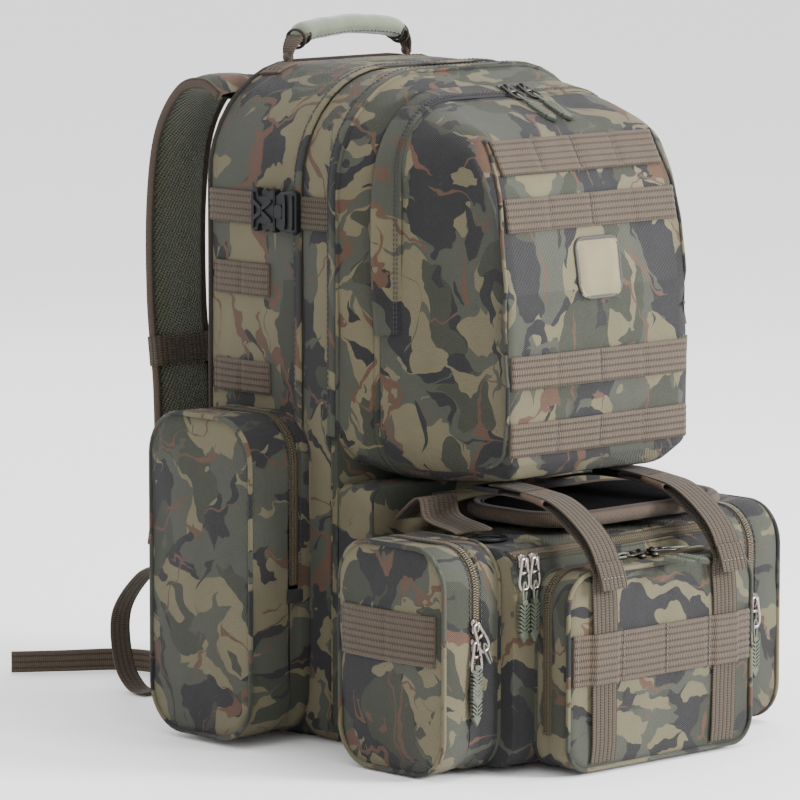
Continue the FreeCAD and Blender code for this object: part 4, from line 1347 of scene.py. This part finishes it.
body_hit = surface(main_gusset, second_gusset)
for side, sign in SIDES.items():
    socket = Build()
    prism(socket, buckle_line([(70.5, 15.5), (67, 16.8), (64, 15.8), (62, 10.8), (52, 10.4),
                               (50, 15.4), (46.5, 16.6), (44.6, 15)]), 136.4, 144.6, 1.2, sign)
    for dy in (-1, 1):
        bar = Vector((0, 11.5, 7.5 * dy)).normalized()
        for slant in (-1, 1):
            middle = Vector((sign * 145.2, 57.5 + slant * 5.5, BUCKLE_Z + dy * slant * 4.4))
            socket.block(middle, bar * 6.6, Vector((0, -bar.z, bar.y)) * 1.5,
                         Vector((sign * 1.1, 0, 0)))
    socket.block(Vector((sign * 145, 67.2, BUCKLE_Z)), Z_AXIS * 13.5, Y_AXIS * 1.5,
                 Vector((sign * 1.2, 0, 0)))
    settle(tidy(socket.done("buckle_body_" + side, BLACK, smooth=False)), "bag",
           "black_plastic", "buckle_socket_" + side)
    plug = Build()
    prism(plug, buckle_line([(44.2, 12.5), (40, 14.5), (31, 15.8), (25, 16.4), (22, 14.6)]),
          136.6, 143.4, 1.2, sign)
    plug.block(Vector((sign * 144, 25, BUCKLE_Z)), Z_AXIS * 13, Y_AXIS * 1.7,
               Vector((sign * 1.3, 0, 0)))
    plug.block(Vector((sign * 144, 33.2, BUCKLE_Z)), Z_AXIS * 13, Y_AXIS * 1.5,
               Vector((sign * 1.1, 0, 0)))
    plug.block(Vector((sign * 143.6, 40, BUCKLE_Z)), Y_AXIS * 4.4, Z_AXIS * 5,
               Vector((sign * 1.3, 0, 0)))
    settle(tidy(plug.done("buckle_insert_" + side, BLACK, smooth=False)), "bag",
           "black_plastic", "buckle_plug_" + side)
    for label, up in (("upper", 1), ("lower", -1)):
        arm = Build()
        prism(arm, [(y, BUCKLE_Z + up * z) for y, z in
                    ((46, 8), (51.5, 11.2), (53, 14.6), (57, 16.4), (61, 14.8), (61.6, 11.2),
                     (60, 7))], 138.0, 142.6, 0.9, sign)
        settle(tidy(arm.done("buckle_prong_%s_%s" % (label, side), BLACK, smooth=False)),
               "buckle_arm_%s_%s" % (label, side), "black_plastic",
               "buckle_arm_%s_%s" % (label, side))
    for label, y0, y1, node in (("back", 66, 127, "compression_strap_" + side),
                                ("front", -10, 27, None)):
        ys = [y0 + (y1 - y0) * k / 24 for k in range(25)]
        laid_strip("cinch_%s_%s" % (label, side), body_hit,
                   [Vector((sign * 300, y, BUCKLE_Z + STRAP_W / 2)) for y in ys],
                   [Vector((sign * 300, y, BUCKLE_Z - STRAP_W / 2)) for y in ys], (-sign, 0, 0),
                   WEB if label == "back" else WEB_DARK, "bag", "webbing",
                   (node,) if node else (), thickness=2.0, ribs=5,
                   dents=(3,) if label == "back" else (34,), proud=0.3)
    for index, top_z in enumerate((362, 287)):
        ys = [57 + 63 * k / 26 for k in range(27)]
        laid_strip("side_patch_%d_%s" % (index + 1, side), body_hit,
                   [Vector((sign * 300, y, top_z)) for y in ys],
                   [Vector((sign * 300, y, top_z - STRAP_W)) for y in ys], (-sign, 0, 0), WEB,
                   "bag", "webbing", ("side_webbing",) if index == 0 and sign < 0 else (),
                   thickness=2.2, ribs=5, dents=(2.5, 31.5, 60.5), proud=0.3)

# --- carry handle -----------------------------------------------------------------------------
handle_path = smooth_line([(x, HANDLE_Y, z) for x, z in ((-54, 528), (-40, 533), (0, 536),
                                                         (40, 533), (54, 528))], 60)
grip = Build()
grip_rows = []
for i, p in enumerate(handle_path):
    end = min(1.0, i / 4, (59 - i) / 4)
    size = 0.62 + 0.38 * math.sin(end * math.pi / 2)
    t = (handle_path[min(59, i + 1)] - handle_path[max(0, i - 1)]).normalized()
    up = Vector((-t.z, 0, t.x))
    up = up if up.z > 0 else -up
    grip_rows.append([p + Y_AXIS * (11.5 * size * math.cos(a)) + up * (7.6 * size * math.sin(a))
                      for a in [2 * math.pi * k / 28 for k in range(28)]])
grip.grid(grip_rows, closed=True)
for row in (0, len(grip_rows) - 1):
    start = row * 28
    grip.faces.append(tuple(range(start, start + 28)))
    grip.uvs.append([(0, 0)] * 28)
grip_piece = tidy(grip.done("handle_sleeve", SLEEVE))
wrinkle(grip_piece, 0.5, 60.0, 41.0)
settle(grip_piece, "handle", "handle_sleeve", "handle_grip")
stitches("handle_stitches", [([p + Vector((0, -9.6, -4.6)) for p in handle_path[3:-3]],
                              Vector((0, -0.8, -0.6)))], THREAD_LIGHT, "handle", pitch=4.0,
         proud=0.4)
for side, sign in SIDES.items():
    left = []
    right = []
    normals = []
    leg = smooth_line([(sign * x, HANDLE_Y, z) for x, z in ((50, 530), (56, 526), (61, 519),
                                                            (62.4, 511.0))], 24)
    for i, p in enumerate(leg):
        half = 11.5 - 7.4 * (i / 23) ** 1.3
        half *= math.cos(math.radians(8 + 20 * (i / 23)))
        left.append(p + Y_AXIS * half)
        right.append(p - Y_AXIS * half)
        t = (leg[min(23, i + 1)] - leg[max(0, i - 1)]).normalized()
        n = Vector((-t.z, 0, t.x))
        normals.append(n if n.dot(Vector((sign, 0, 0.4))) > 0 else -n)
    build = Build()
    build.ribbon(left, right, normals, thickness=2.2, ribs=4)
    settle(tidy(build.done("handle_leg_" + side, WEB)), "handle", "webbing",
           *(("handle_webbing",) if sign < 0 else ()))
    foot = Build()
    foot.tube([Vector((sign * x, HANDLE_Y, 513)) for x in (60.4, 61.0, 64.6, 65.2)], 3.7, sides=18)
    settle(foot.done("handle_foot_" + side, WEB), "handle", "webbing")
    xs = [66.4 + 20 * k / 12 for k in range(13)]
    laid_strip("handle_root_" + side, body_hit, [Vector((sign * x, 103, 700)) for x in xs],
               [Vector((sign * x, 124.5, 700)) for x in xs], (0, 0, -1), WEB, "bag", "webbing",
               thickness=2.0, ribs=5, dents=(18,), proud=0.3)
    bound = Build()
    for dx in (0, 5.5):
        loop = [Vector((sign * (49 + dx), HANDLE_Y + 10.4 * math.cos(a), 529.6 - dx * 0.55
                        + 7 * math.sin(a))) for a in [2 * math.pi * k / 24 for k in range(24)]]
        bound.tube(loop, 1.3, closed=True, sides=8)
    settle(bound.done("handle_end_binding_" + side, BIND_DARK), "handle", "webbing")

# --- padded back -------------------------------------------------------------------------------
back = Build()
back.dome(body_section(BACK_Y), Vector((0, BACK_Y, HEIGHT / 2)), Vector((0, 2.0, 0)), 12,
          lambda p: (p.x, p.z))
settle(tidy(back.done("back_cloth", MESH)), "bag", "spacer_mesh", "back_panel")
CUSHIONS = (("left", -92, -12, 170, 440, 9), ("right", 12, 92, 170, 440, 9),
            ("low", -104, 104, 28, 140, 11))
for label, x0, x1, z0, z1, depth in CUSHIONS:
    cushion = Build()
    rows = []
    for lift, shrink in ((-1.0, 0), (1.5, -0.5), (depth * 0.55, 0.5), (depth * 0.85, 3)):
        flat = ring(x0 + shrink, x1 - shrink, z0 + shrink, z1 - shrink, 22, 22)
        rows.append([Vector((p.x, 128 + lift, p.y)) for p in flat])
    cushion.grid(rows, closed=True)
    cushion.dome(rows[-1], Vector(((x0 + x1) / 2, 128 + depth * 0.85, (z0 + z1) / 2)),
                 Vector((0, depth * 0.2, 0)), 8, lambda p: (p.x, p.z))
    piece = tidy(cushion.done("back_cushion_" + label, MESH))
    wrinkle(piece, 0.8, 22.0, 43.0)
    settle(piece, "bag", "spacer_mesh", *(("back_pads",) if label == "left" else ()))

# --- zip sliders and pulls ----------------------------------------------------------------------
GRIP_LEAN = 1


def turned(points, at, tilt, lean=0.0):
    """Points of a hanging pull, swung sideways and then tilted about its slider."""
    spin = (Matrix.Rotation(math.radians(tilt), 4, Vector((-1, 0, 0)))
            @ Matrix.Rotation(math.radians(lean), 4, Y_AXIS))
    return [at + (spin @ (p - at)) for p in points]


def slider_and_pull(name, at, tilt, slider_body, pull_body, slider_node, pull_node, lean=0.0):
    at = Vector(at)
    body = Build()
    body.block(at + Vector((0, -1.6, 3.2)), X_AXIS * 4.0, Z_AXIS * 2.6, Y_AXIS * 1.5)
    body.block(at + Vector((0, -1.6, -1.8)), X_AXIS * 3.2, Z_AXIS * 3.6, Y_AXIS * 1.4)
    body.block(at + Vector((0, -3.4, 0.4)), X_AXIS * 1.3, Z_AXIS * 4.6, Y_AXIS * 0.6)
    arch = [at + Vector((0, -3.0 - 3.0 * math.sin(a), 3.6 * math.cos(a)))
            for a in [math.pi * k / 10 for k in range(11)]]
    body.tube(arch, 0.9, sides=8)
    body.verts = turned(body.verts, at, tilt)
    metal = GUNMETAL if tilt else METAL
    settle(tidy(body.done(name + "_slider", metal)), slider_body, "slider_metal",
           *((slider_node,) if slider_node else ()))
    y = at.y - 4.5
    tab = Build()
    half_line = ((2.6, 2.2), (3.3, -4), (4.9, -12.5), (4.8, -17.0), (2.6, -20.4))
    outline = list(half_line) + [(-a, b) for a, b in reversed(half_line)]
    path = [Vector((at.x + a, y, at.z + b)) for a, b in outline]
    tab.tube(resample(path, 48), 1.5, closed=True, sides=10, flat=0.62, normal=Y_AXIS)
    tab.block(Vector((at.x, y, at.z - 8.0)), X_AXIS * 3.6, Z_AXIS * 1.2, Y_AXIS * 0.8)
    tab.verts = turned(tab.verts, at, tilt, lean)
    settle(tidy(tab.done(name + "_tab", metal)), pull_body, "slider_metal",
           *((pull_node,) if pull_node else ()))
    cord = Build()
    foot = at.z - 17
    path = [Vector((at.x - 1.2, y - 0.4, foot - 14)), Vector((at.x - 2.4, y - 0.9, foot - 4)),
            Vector((at.x - 1.3, y - 0.6, foot + 1.6)), Vector((at.x + 1.3, y + 0.2, foot + 1.6)),
            Vector((at.x + 2.4, y + 0.6, foot - 4)), Vector((at.x + 1.2, y + 0.4, foot - 14))]
    cord.tube(smooth_line(path, 30), 0.85, sides=8)
    cord.verts = turned(cord.verts, at, tilt, lean)
    settle(tidy(cord.done(name + "_cord", CORD)), pull_body, "slider_metal")
    # The moulded grip: a spine with slanting barbs and a solid pointed end.
    grip = Build()
    head = foot - 11.5
    grip.block(Vector((at.x, y, head - 1.2)), X_AXIS * 2.6, Z_AXIS * 1.8, Y_AXIS * 1.7)
    grip.block(Vector((at.x, y, head - 13)), X_AXIS * 0.9, Y_AXIS * 1.5, Z_AXIS * 12)
    for k in range(7):
        for way in (-1, 1):
            along = Vector((way * 0.76, 0, 0.65))
            middle = Vector((at.x + way * 2.3, y, head - 4.8 - k * 2.95)) + along * 0.3
            grip.block(middle, along * 2.9, Vector((-along.z, 0, along.x)) * 0.66, Y_AXIS * 1.6)
    tip = ((-1.6, -22.5), (-4.3, -24.6), (0, -31.4), (4.3, -24.6), (1.6, -22.5), (0, -23.6))
    base = len(grip.verts)
    for dy, size in ((-1.8, 0.82), (-1.0, 1.0), (1.0, 1.0), (1.8, 0.82)):
        for a, b in tip:
            grip.verts.append(Vector((at.x + a * size, y + dy, head - 26 + (b + 26) * size)))
    for k in range(3):
        for j in range(6):
            n = (j + 1) % 6
            grip.faces.append((base + k * 6 + j, base + k * 6 + n, base + k * 6 + 6 + n,
                               base + k * 6 + 6 + j))
            grip.uvs.append([(0, 0)] * 4)
    for row in (0, 3):
        grip.faces.append(tuple(range(base + row * 6, base + row * 6 + 6)))
        grip.uvs.append([(0, 0)] * 6)
    # Known fault: the grip should follow lean.  It doesn't, so it stands apart from its cord
    # on the three pulls that lean.
    grip.verts = turned(grip.verts, at, tilt, GRIP_LEAN)
    settle(tidy(grip.done(name + "_grip", PULLER, smooth=False)), pull_body, "slider_metal")


# Name, place, forward tilt, body of the slider, body of the pull, the two CAD nodes that they
# replace, and sideways lean.  The last three rest against the pouches and don't swing.
PULLS = [("front_left", (0, -56, 492), 68, "front_flap", "front_pull_left", "front_sliders",
          "front_pull_left", 0),
         ("front_right", (17, -56, 492), 68, "front_flap", "front_pull_right", None,
          "front_pull_right", 0),
         ("end_left", (-149, -176.3, 100), 0, "bag", "end_pull_left", "zip_sliders",
          "end_pull_left", 0),
         ("end_right", (149, -176.3, 100), 0, "bag", "end_pull_right", None,
          "end_pull_right", 0),
         ("waist_outer", (-114, -190.3, 160), 0, "bag", "waist_pull_outer", None,
          "waist_pull_outer", 0),
         ("waist_inner", (-103, -190.3, 160), 0, "bag", "waist_pull_inner", None,
          "waist_pull_inner", 0),
         ("end_second", (-149, -176.6, 114), 0, "bag", "bag", None, None, -27),
         ("centre_first", (-2, -203, 152.4), 88, "bag", "bag", None, None, 80),
         ("centre_second", (12, -203, 152.4), 88, "bag", "bag", None, None, -78)]
for pull in PULLS:
    slider_and_pull(*pull)

low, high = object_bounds()
